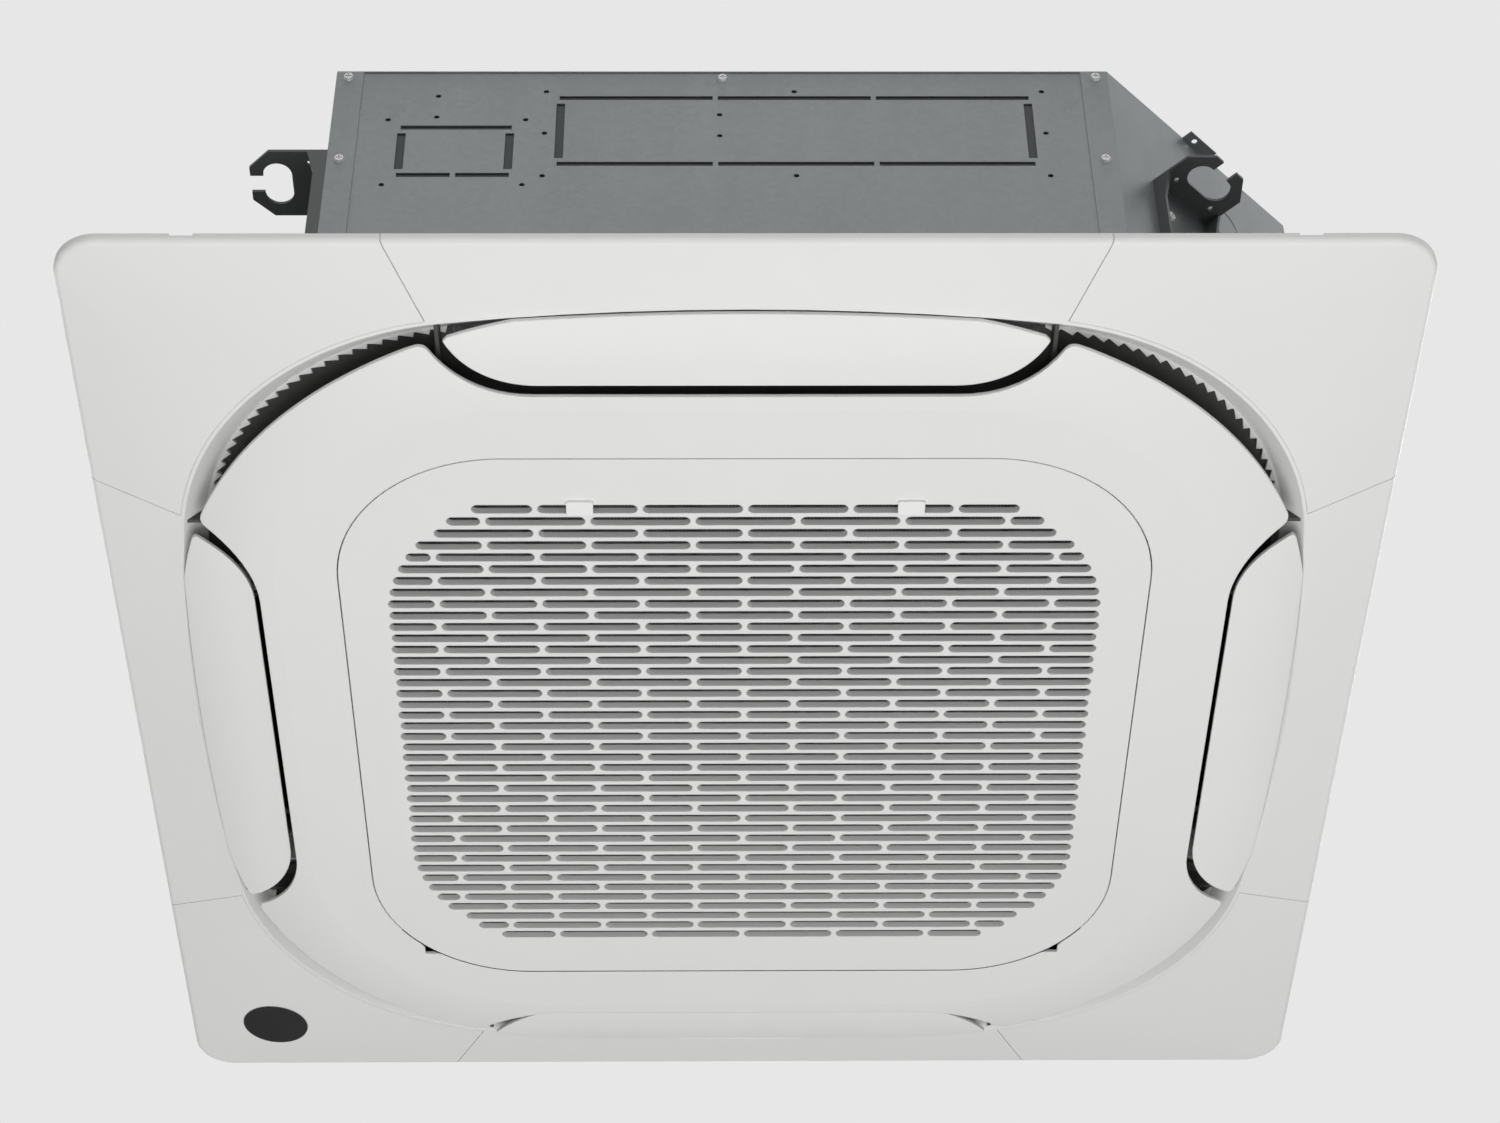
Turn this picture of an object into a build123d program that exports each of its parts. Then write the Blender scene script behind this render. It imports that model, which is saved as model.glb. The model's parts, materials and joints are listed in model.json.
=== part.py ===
from build123d import *
from math import atan2, cos, degrees, hypot, pi, radians, sin, sqrt, tan
import os

# A four-way ceiling cassette air conditioner: a galvanised casing that hangs above the ceiling on four hooked
# brackets, and a white panel below the ceiling with four swinging louvres round a hinged intake grille.
#
# While the pieces are made, heights are counted from the ceiling plane, up positive, in millimetres. At the
# end everything moves down by HANG_HEIGHT, which puts the origin midway between the four suspension bolts,
# on the underside of the bracket hooks. Front is -Y, right is +X.
# A piece on one side of the square is made on the front side and turned about Z in quarter turns.

# ---------------------------------------------------------------- casing
BODY_SIZE = 840.0           # width and depth of the steel casing
BODY_HEIGHT = 245.0         # casing from its bottom edge to its top plate
SEAL = 4.0                  # foam seal between the panel and the casing
SHEET = 1.0                 # galvanised sheet
CHAMFER = 150.0             # legs of the three 45 degree corners
NOTCH = 118.0               # width of the recessed piping corner
NOTCH_DEPTH = 170.0         # how far its straight wall runs back
LAP = 20.0                  # width of the corner panels' flanges on the side panels
TOP_FLANGE = 12.0           # down-turned flange of the top plate
TAB_OUT = 9.0               # tabs of the top plate at its 45 degree corners
PRESSED_RING_R = 18.0       # ring pressed in the front right corner panel
LINER = 8.0                 # insulation on the walls
TOP_LINER = 10.0            # insulation under the top plate
HANG_HEIGHT = 155.0         # hook underside above the ceiling
BOLT_SETBACK_X = 80.0       # suspension bolts inside the casing's outline square
BOLT_SETBACK_Y = 30.0

# ---------------------------------------------------------------- hanger brackets
BRACKET_PLATE = 2.5
BRACKET_WIDTH = 60.0
HOOK_SLOT = 38.0            # the hook's slot, end to end
HOOK_SLOT_WIDTH = 21.0
HOOK_MOUTH = 15.0           # way in for the bolt
HOOK_LIP = 9.5              # metal outside the slot
FOOT_LENGTH = 34.0
FOOT_WIDTH = 28.0
FOOT_HOLE = 20.0            # panel screw, out from the wall
CORNER_SCREW_SETBACK = 9.0

# ---------------------------------------------------------------- panel
OVERHANG = 55.0             # the panel's rim outside the casing
RIM_HEIGHT = 8.0
RIM_RADIUS = 32.0
RIM_ROUND = 4.5             # rounding of the rim's lower edge
RIM_NOTCH_AT = 385.0        # small notches in the front rim's top edge
RIM_NOTCH = 16.5
RIM_STEPS = 3
SKIN = 2.6                  # moulded wall of frame and covers
LIP_DEPTH = 20.0            # outlet lip below the ceiling
DUCT_SETBACK = 13.0         # outlet slot inside the casing wall
SLOT_WIDTH = 48.0           # outlet slot in frame and drain pan
SLOT_HALF = 205.0           # half its length
FLARE = 16.5                # the lip stands outside the slot by this much
LIP_SIDE_RADIUS = 1735.0    # gentle bulge of the lip along a side
LIP_CORNER_DROP = 78.5      # corner of the lip outline, inside its sides
DIAPHRAGM = 3.0             # top plate of the frame
SEAM_RIM = 250.0            # corner cover seams, at the rim
SEAM_LIP = 222.0            # and at the lip
SEAM_GAP = 0.5
TEETH = 24                  # comb teeth in each corner outlet
TOOTH_DEPTH = 4.5
TOOTH_HEIGHT = 3.0
WEB_AT = 215.0              # webs between side slots and corner outlets
WEB_DEPTH = 15.0

# ---------------------------------------------------------------- centre plate
PLATE_DEPTH = 40.0          # flat face below the ceiling
PLATE_SKIN = 3.0
PLATE_FLAT = 12.0           # the flat ends this far inside the notch edge
PLATE_FLAT_RADIUS = 188.0
PLATE_BRIM = 27.0           # depth that the dome reaches near the lip
PLATE_INSET = 10.0          # of that brim inside the lip
DOME_STEPS = (0.0, 0.25, 0.5, 0.75, 1.0)
DOME_POWER = 1.7
PLATE_CORNER_RADIUS = 303.0
PLATE_CORNER_DROP = 94.0    # corner of the plate inside the lip's mid side
NOTCH_HALF = 150.0          # straight edge beside each louvre
NOTCH_RADIUS = 90.0
TIP_RADIUS = 9.0
PLATE_WALL_SETBACK = 9.0
GRILLE_BORDER = 59.0        # plate between the notch and the grille

# ---------------------------------------------------------------- intake grille
GRILLE_GAP = 0.9
GRILLE_RADIUS = 125.0
GRILLE_SKIN = 3.0
RIB_DEPTH = 6.0
SLOT_FIELD_BORDER = 34.0    # grille edge to the first slots
SLOT_FIELD_RADIUS = 130.0
ROW_PITCH = 12.45
ROW_SLOT = 8.6
ROW_STEP = 76.0             # slot to slot along a row
SLOT_BRIDGE = 3.8
SHORTEST_SLOT = 14.0
HINGE_X_SETBACK = 69.1      # hinges inside the grille's sides
HINGE_SETBACK = 30.0        # hinge line inside the grille's rear edge
HINGE_PIN_R = 1.5
HINGE_KNUCKLE_R = 2.3
HINGE_ABOVE_SKIN = 2.5
HINGE_ARM = 6.0
RUNNING_GAP = 0.05          # radial, pins and shafts
SIDE_GAP = 0.4              # between faces that slide past each other
RELIEF = 7.4                # widening of the plate's opening over the ribs' height, behind the hinge line
LATCH_X = 119.5
LATCH_WIDTH = 19.5
LATCH_LENGTH = 14.0
LATCH_PROUD = 2.0
LATCH_TRAVEL = 5.0          # towards the front, to lock
LATCH_BOLT = 2.0
LATCH_STEM = 2.6
FILTER_HEIGHT = 6.0
FILTER_FOOT = 4.0
FILTER_BORDER = 32.0
FILTER_BAR = 8.0
FILTER_BARS = 4

# ---------------------------------------------------------------- louvres
LOUVRE_THICK = 3.0
LOUVRE_GAP = 5.0            # to the centre plate
LOUVRE_LIP_GAP = 3.0        # to the lip
LOUVRE_INNER_DEPTH = 33.0
LOUVRE_MID_DEPTH = 30.4
LOUVRE_OUTER_DEPTH = 21.0
LOUVRE_END_HALF = 146.0     # straight part of the inner edge
LOUVRE_END_RADIUS = 73.6
LOUVRE_HALF = 210.0
LOUVRE_AXIS_IN = 19.0       # axis outside the plate's notch edge
LOUVRE_AXIS_DEPTH = 14.0
LOUVRE_PIN_R = 2.5
LOUVRE_LUG_R = 5.0
LOUVRE_LUG = 4.0
POST_AT = 137.0
POST_THICK = 4.0
POST_R = 15.0
MOTOR_R = 10.0
MOTOR_LENGTH = 15.0

# ---------------------------------------------------------------- inside the casing
PAN_HEIGHT = 56.0
PAN_OPENING_BORDER = 74.0   # notch edge to the pan's opening
PAN_ROUNDNESS = 200.0 / 285.0   # corner radius to half width
TROUGH_FLOOR = 34.0
TROUGH_WALL = 7.0
COIL_CLEARANCE = 14.0       # outlet slot to the coil's outer face
COIL_DEPTH = 46.0
COIL_OUTER_RADIUS = 75.0
COIL_LEFT_CLEARANCE = 22.0  # coil's left end to the piping corner
COIL_FRONT_CLEARANCE = 102.0
HEADER_IN = 6.63            # gas header inside the coil's outer face
COIL_ROWS = 8
COIL_TUBE_R = 3.5
END_PLATE = 2.0
FAN_CLEARANCE = 59.0        # coil's inner face to the fan
FAN_TOP_GAP = 13.0
FAN_DISC = 3.0
FAN_BLADES = 7
BLADE_THICK = 3.5
BLADE_ROOT = 0.625          # of the fan's radius
SHROUD = 2.5
INLET_LAP = 8.0
BELL_TOP = 60.0
BELL_THROAT_SETBACK = 36.0
BELL_FLARE = 27.0
BELL_PLATE = 3.0
MOTOR_BODY_R = 72.0
MOTOR_HANG = 88.0           # motor's lower end below the top liner's upper face
MOTOR_MOUNT = 12.0
CUP_GAP = 10.0
SHAFT_R = 5.0
BOX_LENGTH = 220.0
BOX_DEPTH = 42.0
BOX_HEIGHT = 47.0
PUMP_BEHIND = 23.95         # pump's middle behind the trough's inner wall
PUMP_TURN = 221.488         # and its direction from that wall's arc centre
PUMP_R = 26.0
FLOAT_BEHIND = 12.612
FLOAT_TURN = 233.705
FLOAT_TRAVEL = 25.0
GAS_PIPE_R = 7.94
LIQUID_PIPE_R = 4.76
DRAIN_PIPE_R = 16.0
DRAIN_BORE_R = 13.0
PIPE_OUT = 55.0             # stubs outside the casing
PIPE_BEAD = 30.0            # bead round each stub, and the connecting length beyond it
SCREW_R = 1.9
SCREW_HOLE_R = 2.0
SCREW_HEAD_R = 4.2
SCREW_HEAD = 2.4
SCREW_LENGTH = 9.0
PANEL_SCREW_R = 2.4
PANEL_SCREW_HOLE_R = 2.5

# ---------------------------------------------------------------- knock-outs on the front panel
BRANCH_DUCT_BELOW_TOP = 68.5
BRANCH_DUCT_X = 37.0
BRANCH_DUCT = (350.0, 76.0)
BRANCH_HOLES = (366.0, 97.0)
FRESH_AIR_BELOW_TOP = 92.0
FRESH_AIR_FROM_NOTCH = 91.5
FRESH_AIR = (85.0, 54.0)
FRESH_HOLES = (100.6, 74.0)
KNOCKOUT_CUT = 4.8
KNOCKOUT_CUT_UPRIGHT = 6.2
KNOCKOUT_BRIDGE = 4.0
PILOT_R = 2.0

# ---------------------------------------------------------------- sizes that follow from the ones above
half_body = BODY_SIZE / 2
body_base = SEAL
body_top = SEAL + BODY_HEIGHT
panel_half = half_body + OVERHANG
slot_outer = half_body - DUCT_SETBACK
slot_inner = slot_outer - SLOT_WIDTH
lip_mid = slot_outer + FLARE
lip_corner = lip_mid - LIP_CORNER_DROP
plate_corner = lip_mid - PLATE_CORNER_DROP
plate_wall = slot_inner - PLATE_WALL_SETBACK
grille_opening = slot_inner - GRILLE_BORDER
grille_half = grille_opening - GRILLE_GAP
field_half = grille_half - SLOT_FIELD_BORDER
hinge_x = grille_half - HINGE_X_SETBACK
hinge_y = grille_half - HINGE_SETBACK
hinge_z = -PLATE_DEPTH + GRILLE_SKIN + HINGE_ABOVE_SKIN
louvre_axis_u = slot_inner + LOUVRE_AXIS_IN
louvre_inner = slot_inner + LOUVRE_GAP
coil_outer = slot_inner - COIL_CLEARANCE
coil_inner = coil_outer - COIL_DEPTH
coil_inner_radius = COIL_OUTER_RADIUS - COIL_DEPTH
pan_top = SEAL + PAN_HEIGHT
pan_opening = slot_inner - PAN_OPENING_BORDER
liner_top = body_top - SHEET
liner_bottom = liner_top - TOP_LINER
fan_r = coil_inner - FAN_CLEARANCE
fan_top = liner_bottom - FAN_TOP_GAP
bell_throat = fan_r - BELL_THROAT_SETBACK
notch_x = -half_body + NOTCH
notch_turn_y = -half_body + NOTCH_DEPTH
notch_end_y = notch_turn_y + NOTCH
chamfer_at = half_body - CHAMFER
bolt_x = half_body - BOLT_SETBACK_X
bolt_y = half_body - BOLT_SETBACK_Y
pan_radius = pan_opening * PAN_ROUNDNESS
motor_bottom = liner_top - MOTOR_HANG
coil_left_end = notch_end_y + COIL_LEFT_CLEARANCE
coil_front_end = notch_x + COIL_FRONT_CLEARANCE
branch_duct_at = (BRANCH_DUCT_X, body_top - BRANCH_DUCT_BELOW_TOP)
fresh_air_at = (notch_x + FRESH_AIR_FROM_NOTCH, body_top - FRESH_AIR_BELOW_TOP)
lens_at = (-(panel_half - 73.0), panel_half - 67.0)


def behind_trough(behind, turn):
    """A place in the drain pan's front left corner, counted from its inner wall."""
    centre, reach = -(pan_opening - pan_radius), pan_radius + TROUGH_WALL + behind
    return centre + reach * cos(radians(turn)), centre + reach * sin(radians(turn))


def level(height):
    """A height on the casing's walls that moves in proportion with the casing's height."""
    return body_base + (height - body_base) * BODY_HEIGHT / 245.0


pump_at = behind_trough(PUMP_BEHIND, PUMP_TURN)
float_at = behind_trough(FLOAT_BEHIND, FLOAT_TURN)

NODES = {}


# ---------------------------------------------------------------- small helpers
def slab(face, low, high):
    """A flat face, drawn at height 0, as a solid from one height to another."""
    return extrude(Pos(0, 0, low) * face, amount=high - low)


def block(low, high):
    """A box between two corner points."""
    size = [high[i] - low[i] for i in range(3)]
    centre = [(high[i] + low[i]) / 2 for i in range(3)]
    return Pos(*centre) * Box(*size)


def post(x, y, radius, low, high):
    """An upright cylinder."""
    return Pos(x, y, (low + high) / 2) * Cylinder(radius, high - low)


def rod_y(x, y0, y1, z, radius):
    """A cylinder along Y."""
    return Pos(x, (y0 + y1) / 2, z) * Rot(90, 0, 0) * Cylinder(radius, abs(y1 - y0))


def rod_x(x0, x1, y, z, radius):
    """A cylinder along X."""
    return Pos((x0 + x1) / 2, y, z) * Rot(0, 90, 0) * Cylinder(radius, abs(x1 - x0))


def across(face, x0, x1):
    """A cross-section of the front side, drawn as (outwards, up), run along X between two places."""
    return Pos(x1, 0, 0) * Rot(0, 0, -90) * Rot(90, 0, 0) * extrude(face, amount=x1 - x0)


def quarter(shape, turns):
    """The same piece on another side, turned about Z."""
    return Rot(0, 0, 90 * turns) * shape


def turned(x, y, turns):
    """A point turned about Z in quarter turns."""
    for _ in range(turns):
        x, y = -y, x
    return x, y


def rounded(half, radius):
    """A rounded square about the origin."""
    return RectangleRounded(2 * half, 2 * half, radius)


def crossing(p, d, q, e):
    """Where the line through p along d meets the line through q along e."""
    cross = d[0] * e[1] - d[1] * e[0]
    t = ((q[0] - p[0]) * e[1] - (q[1] - p[1]) * e[0]) / cross
    return p[0] + t * d[0], p[1] + t * d[1]


def inset_path(points, distance, closed):
    """The path moved to its left by a distance, with mitred corners. Counter-clockwise outlines shrink."""
    count = len(points)
    spans = count if closed else count - 1
    moved = []
    for i in range(spans):
        (x0, y0), (x1, y1) = points[i], points[(i + 1) % count]
        length = hypot(x1 - x0, y1 - y0)
        dx, dy = (x1 - x0) / length, (y1 - y0) / length
        moved.append(((x0 - dy * distance, y0 + dx * distance), (dx, dy), length))
    result = []
    for i in range(count):
        if not closed and i == 0:
            result.append(moved[0][0])
        elif not closed and i == count - 1:
            (x, y), (dx, dy), length = moved[-1]
            result.append((x + dx * length, y + dy * length))
        else:
            p, d, _ = moved[i - 1]
            q, e, _ = moved[i]
            result.append(crossing(p, d, q, e))
    return result


def strip(points, near, far, low, high):
    """A bent sheet wall along an open path, between two distances to its left."""
    outer = inset_path(points, near, False) if near else points
    inner = inset_path(points, far, False)
    return slab(Polygon(*outer, *reversed(inner), align=None), low, high)


# ---------------------------------------------------------------- outlines
BODY_OUTLINE = [
    (notch_x, -half_body), (chamfer_at, -half_body), (half_body, -chamfer_at), (half_body, chamfer_at),
    (chamfer_at, half_body), (-chamfer_at, half_body), (-half_body, chamfer_at), (-half_body, notch_end_y),
    (notch_x, notch_turn_y),
]


def body_face(inset):
    """The casing's plan outline, drawn in by a distance."""
    return Polygon(*inset_path(BODY_OUTLINE, inset, True), align=None)


# The outlet lip is a closed line of eight arcs. A side's arc has its centre far behind the unit's middle, and
# the corner's arc touches it from inside and passes through the corner point on the diagonal.
side_centre = lip_mid - LIP_SIDE_RADIUS
corner_slack = LIP_SIDE_RADIUS - sqrt(2) * lip_corner
corner_centre = (side_centre**2 - corner_slack**2) / (2 * (side_centre + sqrt(2) * corner_slack))
lip_corner_radius = sqrt(2) * (lip_corner - corner_centre)
lip_turn = degrees(atan2(corner_centre, corner_centre - side_centre))
CORNER_SPLIT = 12.0         # degrees of the corner arc that face the rim's own rounding


def arc_piece(centre, radius, start, end, turns, height):
    """An arc about a centre, angles counted from -Y towards +X."""
    def at(angle):
        x = centre[0] + radius * sin(radians(angle))
        y = centre[1] - radius * cos(radians(angle))
        return (*turned(x, y, turns), height)
    return ThreePointArc(at(start), at((start + end) / 2), at(end))


def lip_face(grow, height):
    """The area inside the lip line, moved outwards by a distance, at a height."""
    edges = []
    for turns in range(4):
        radius = lip_corner_radius + grow
        corner = (corner_centre, -corner_centre)
        edges.append(arc_piece((0, -side_centre), LIP_SIDE_RADIUS + grow, -lip_turn, lip_turn, turns, height))
        angles = (lip_turn, 45 - CORNER_SPLIT, 45 + CORNER_SPLIT, 90 - lip_turn)
        for start, end in zip(angles, angles[1:]):
            edges.append(arc_piece(corner, radius, start, end, turns, height))
    return make_face(edges)


def rim_face(half, radius, height):
    """The panel's rounded square, split where the lip line is, so that the two can be joined by a slope."""
    edges = []
    for turns in range(4):
        def line(p, q):
            return Line((*turned(*p, turns), height), (*turned(*q, turns), height))
        edges.append(line((-SEAM_RIM, -half), (SEAM_RIM, -half)))
        edges.append(line((SEAM_RIM, -half), (half - radius, -half)))
        edges.append(arc_piece((half - radius, -half + radius), radius, 0, 90, turns, height))
        edges.append(line((half, -half + radius), (half, -SEAM_RIM)))
    return make_face(edges)


def slope(lower, upper):
    """The solid between two outlines with matching edges."""
    return loft([lower, upper], ruled=True)


# ---------------------------------------------------------------- panel frame and corner covers
def side_slot_face():
    """The front outlet slot, seen from below."""
    middle = -(slot_inner + slot_outer) / 2
    return Pos(0, middle) * RectangleRounded(2 * SLOT_HALF, SLOT_WIDTH, SLOT_WIDTH * 0.4)


def outlet_slots(low, high):
    """All four outlet slots. The left one stops short of the piping corner's wall."""
    slots = [quarter(slab(side_slot_face(), low, high), turns) for turns in range(4)]
    return [slot & slab(body_face(DUCT_SETBACK), low, high) for slot in slots]


def corner_sector(gap):
    """The front right corner between its two seams. The gap widens it."""
    across, along = SEAM_RIM - SEAM_LIP, panel_half - (lip_mid - FLARE * 0.8)
    reach = 1.4
    outer = (SEAM_RIM + across * 0.2 - gap, -panel_half - along * 0.2)
    inner = (SEAM_RIM - across * reach - gap, -panel_half + along * reach)
    far = panel_half + along
    points = [outer, (far, outer[1]), (far, -far + along), (-outer[1], -outer[0]), (-inner[1], -inner[0]),
              (corner_centre, -corner_centre), inner]
    return Polygon(*points, align=None)


def flare(grow, top=-DIAPHRAGM):
    """The funnel-shaped space inside the outlet lips, moved outwards by a distance."""
    return slope(lip_face(grow, -LIP_DEPTH), lip_face(grow - FLARE, top))


def rim_ring(inset, depth):
    """The panel's outline, drawn in by a distance, at a depth below the ceiling."""
    return rim_face(panel_half - inset, RIM_RADIUS - inset, -depth)


def panel_shell():
    """Rim, sloped skin and flared duct wall in one, before the covers are parted from it."""
    low = -LIP_DEPTH
    fall = atan2(LIP_DEPTH - RIM_HEIGHT, panel_half - lip_mid)
    start = RIM_HEIGHT - RIM_ROUND * tan(pi / 4 - fall / 2)
    rings = []
    for step in range(RIM_STEPS + 1):
        angle = (pi / 2 - fall) * step / RIM_STEPS
        rings.append(rim_ring(RIM_ROUND * (1 - cos(angle)), start + RIM_ROUND * sin(angle)))
    shell = slab(rim_face(panel_half, RIM_RADIUS, 0), -start, 0)
    for upper, lower in zip(rings, rings[1:]):
        shell += slope(lower, upper)
    shell += slope(lip_face(0, low), rings[-1])
    hollow = slope(lip_face(0, low + SKIN), rim_ring(SKIN, RIM_HEIGHT - SKIN))
    hollow += slab(rim_face(panel_half - SKIN, RIM_RADIUS - SKIN, 0), -RIM_HEIGHT + SKIN, 0)
    hollow -= flare(SKIN)
    shell -= hollow
    shell -= flare(0)
    for turns in range(4):
        for side in (-1, 1):
            x = side * RIM_NOTCH_AT
            shell -= quarter(block((x - RIM_NOTCH / 2, -panel_half - 1, -2.2), (x + RIM_NOTCH / 2, -panel_half + SKIN + 1, 1)), turns)
    return shell


def comb_teeth():
    """The saw-toothed edge inside the front right corner outlet."""
    centre, outer = (corner_centre, -corner_centre), lip_corner_radius - FLARE + SKIN / 2
    edge = lip_corner_radius - FLARE
    step = (90 - 2 * lip_turn) / TEETH

    def at(radius, angle):
        return (centre[0] + radius * sin(radians(angle)), centre[1] - radius * cos(radians(angle)))
    points = [at(outer, lip_turn + i * step) for i in range(TEETH + 1)]
    for i in reversed(range(TEETH)):
        points.append(at(edge - 0.4, lip_turn + (i + 0.95) * step))
        points.append(at(edge - TOOTH_DEPTH, lip_turn + (i + 0.8) * step))
        points.append(at(edge - 0.4, lip_turn + (i + 0.05) * step))
    web = WEB_AT - 1.8, WEB_AT + 1.8
    gaps = block((web[0], -panel_half, -10), (web[1], -plate_wall, 0)) + block((plate_wall, -web[1], -10), (panel_half, -web[0], 0))
    return slab(Polygon(*points, align=None), -DIAPHRAGM - TOOTH_HEIGHT, -DIAPHRAGM) - gaps


def post_shape(at):
    """A louvre post: it hangs from a bar across the outlet slot and ends round below the louvre's axis."""
    face = Pos(louvre_axis_u, -LOUVRE_AXIS_DEPTH) * Circle(POST_R)
    rest = LOUVRE_AXIS_DEPTH - DIAPHRAGM + 0.5
    face += Pos(louvre_axis_u, -LOUVRE_AXIS_DEPTH + rest / 2) * Rectangle(2 * POST_R, rest)
    face = face & (Pos(louvre_axis_u, -POST_R * 2 - DIAPHRAGM + 0.5) * Rectangle(4 * POST_R, 4 * POST_R))
    bar_in, bar_out = slot_inner - 4.0, slot_outer + 2.0
    face += Pos((bar_in + bar_out) / 2, -DIAPHRAGM - 2.5) * Rectangle(bar_out - bar_in, 5.0)
    return across(face, at, at + POST_THICK)


def bolt_point(corner):
    """Foot of a bracket on its wall, the outward direction and how far out the bolt is."""
    sx, sy = corner
    if corner == (-1, -1):
        return (notch_x, sy * bolt_y), 180.0, bolt_x + notch_x
    out = (bolt_x + bolt_y - (chamfer_at + half_body)) / sqrt(2)
    foot = (sx * (bolt_x - out / sqrt(2)), sy * (bolt_y - out / sqrt(2)))
    return foot, degrees(atan2(sy, sx)), out


CORNERS = {"front_left": (-1, -1), "front_right": (1, -1), "rear_right": (1, 1), "rear_left": (-1, 1)}


def bracket_place(corner):
    """Location whose X axis points out of the wall, at the bracket's foot."""
    (x, y), angle, _ = bolt_point(corner)
    return Pos(x, y, 0) * Rot(0, 0, angle)


def panel_ear(corner):
    """The ear of the frame that a panel screw passes, under a bracket's foot."""
    ear = Pos(FOOT_HOLE, 0) * Circle(FOOT_WIDTH / 2)
    ear += Pos(FOOT_HOLE / 2 - 12, 0) * Rectangle(FOOT_HOLE + 24, FOOT_WIDTH)
    ear -= Pos(FOOT_HOLE, 0) * Circle(PANEL_SCREW_HOLE_R)
    return bracket_place(corner) * slab(ear, -DIAPHRAGM, 0)


def make_panel():
    shell = panel_shell()
    lip_zone = slab(lip_face(SKIN + 0.2, 0), -LIP_DEPTH - 1, 1)
    frame = shell
    for turns, name in enumerate(("front_right", "rear_right", "rear_left", "front_left")):
        cover_zone = quarter(slab(corner_sector(0), -LIP_DEPTH - 2, 1), turns) - lip_zone
        cut_zone = quarter(slab(corner_sector(SEAM_GAP), -LIP_DEPTH - 2, 1), turns) - lip_zone
        NODES["corner_cover_" + name] = shell & cover_zone
        frame = frame - cut_zone
    NODES["panel_frame"] = frame + [quarter(comb_teeth(), turns) for turns in range(4)]


def make_inner_frame():
    """The dark frame behind the white one: the plate under the casing, duct wall, webs, louvre posts, hinge arms."""
    frame = slab(lip_face(-SKIN / 2, 0), -DIAPHRAGM, 0)
    frame -= outlet_slots(-DIAPHRAGM, 0)
    frame -= slab(rounded(pan_opening + 11, pan_radius * 0.6), -DIAPHRAGM, 0)
    extras = []
    for turns in range(4):
        for side in (-1, 1):
            web = block((side * WEB_AT - 1.5, -slot_outer - 4, -DIAPHRAGM - WEB_DEPTH),
                        (side * WEB_AT + 1.5, -plate_wall, -DIAPHRAGM))
            extras.append(quarter(web, turns) & flare(-0.3))
            start = POST_AT if side > 0 else -POST_AT - POST_THICK
            bore = rod_x(start - 1, start + POST_THICK + 1, -louvre_axis_u, -LOUVRE_AXIS_DEPTH,
                         LOUVRE_PIN_R + (1.5 if side > 0 else RUNNING_GAP))
            extras.append(quarter(post_shape(start) - bore, turns) & flare(-0.3))
    wall = slab(rounded(plate_wall, 150.0) - rounded(plate_wall - PLATE_SKIN, 150.0 - PLATE_SKIN), -PLATE_DEPTH, -DIAPHRAGM)
    extras.append(wall & dome(PLATE_SKIN, -DIAPHRAGM))
    for side in (-1, 1):
        extras.append(hinge_arm(side))
    for corner in CORNERS.values():
        extras.append(panel_ear(corner))
    frame = frame + extras
    for corner in CORNERS.values():
        frame -= bracket_place(corner) * post(FOOT_HOLE, 0, PANEL_SCREW_HOLE_R, -DIAPHRAGM - 1, 1)
    NODES["inner_frame"] = frame


def hinge_arm(side):
    """A hook of the frame that carries the grille's hinge pin."""
    x0 = side * hinge_x - HINGE_ARM / 2
    top = -DIAPHRAGM
    arm = block((x0, hinge_y - 6, hinge_z), (x0 + HINGE_ARM, hinge_y + 6, top - 8))
    arm += rod_x(x0, x0 + HINGE_ARM, hinge_y, hinge_z, HINGE_KNUCKLE_R)
    arm = arm & block((x0, hinge_y - HINGE_KNUCKLE_R, hinge_z - 5), (x0 + HINGE_ARM, hinge_y + HINGE_KNUCKLE_R, 0))
    arm += block((x0, hinge_y - HINGE_KNUCKLE_R, top - 11), (x0 + HINGE_ARM, pan_opening + 20, top))
    arm -= rod_x(x0 - 1, x0 + HINGE_ARM + 1, hinge_y, hinge_z, HINGE_PIN_R + RUNNING_GAP)
    return arm


# ---------------------------------------------------------------- centre plate
def dome_outline(part, height):
    """An outline between the flat's edge, at part 0, and the brim, at part 1. Both are closed lines of arcs."""
    half, radius = slot_inner - PLATE_FLAT, PLATE_FLAT_RADIUS
    flat_centre = (half - radius, -half + radius)
    grow = -PLATE_INSET
    brim_centre = (corner_centre, -corner_centre)

    def arc_points(centre, radius, a, b):
        return [(centre[0] + radius * sin(radians(t)), centre[1] - radius * cos(radians(t))) for t in (a, (a + b) / 2, b)]
    flat = [[(-half + radius, -half), (0, -half), (half - radius, -half)]]
    angles = (0, 45 - CORNER_SPLIT, 45 + CORNER_SPLIT, 90)
    flat += [arc_points(flat_centre, radius, a, b) for a, b in zip(angles, angles[1:])]
    brim = [arc_points((0, -side_centre), LIP_SIDE_RADIUS + grow, -lip_turn, lip_turn)]
    angles = (lip_turn, 45 - CORNER_SPLIT, 45 + CORNER_SPLIT, 90 - lip_turn)
    brim += [arc_points(brim_centre, lip_corner_radius + grow, a, b) for a, b in zip(angles, angles[1:])]
    edges = []
    for turns in range(4):
        for low, high in zip(flat, brim):
            mixed = [((1 - part) * p[0] + part * q[0], (1 - part) * p[1] + part * q[1]) for p, q in zip(low, high)]
            mixed = [(*turned(*p, turns), height) for p in mixed]
            straight = part == 0 and low is flat[0]
            edges.append(Line(mixed[0], mixed[2]) if straight else ThreePointArc(*mixed))
    return make_face(edges)


def dome(lift, top):
    """The space above the centre plate's underside: a flat middle whose border curves up to the lip."""
    low, brim = -PLATE_DEPTH + lift, -PLATE_BRIM + lift
    solid = loft([dome_outline(part, low + (brim - low) * part**DOME_POWER) for part in DOME_STEPS])
    return solid + slab(lip_face(-PLATE_INSET, 0), brim, top)


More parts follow.
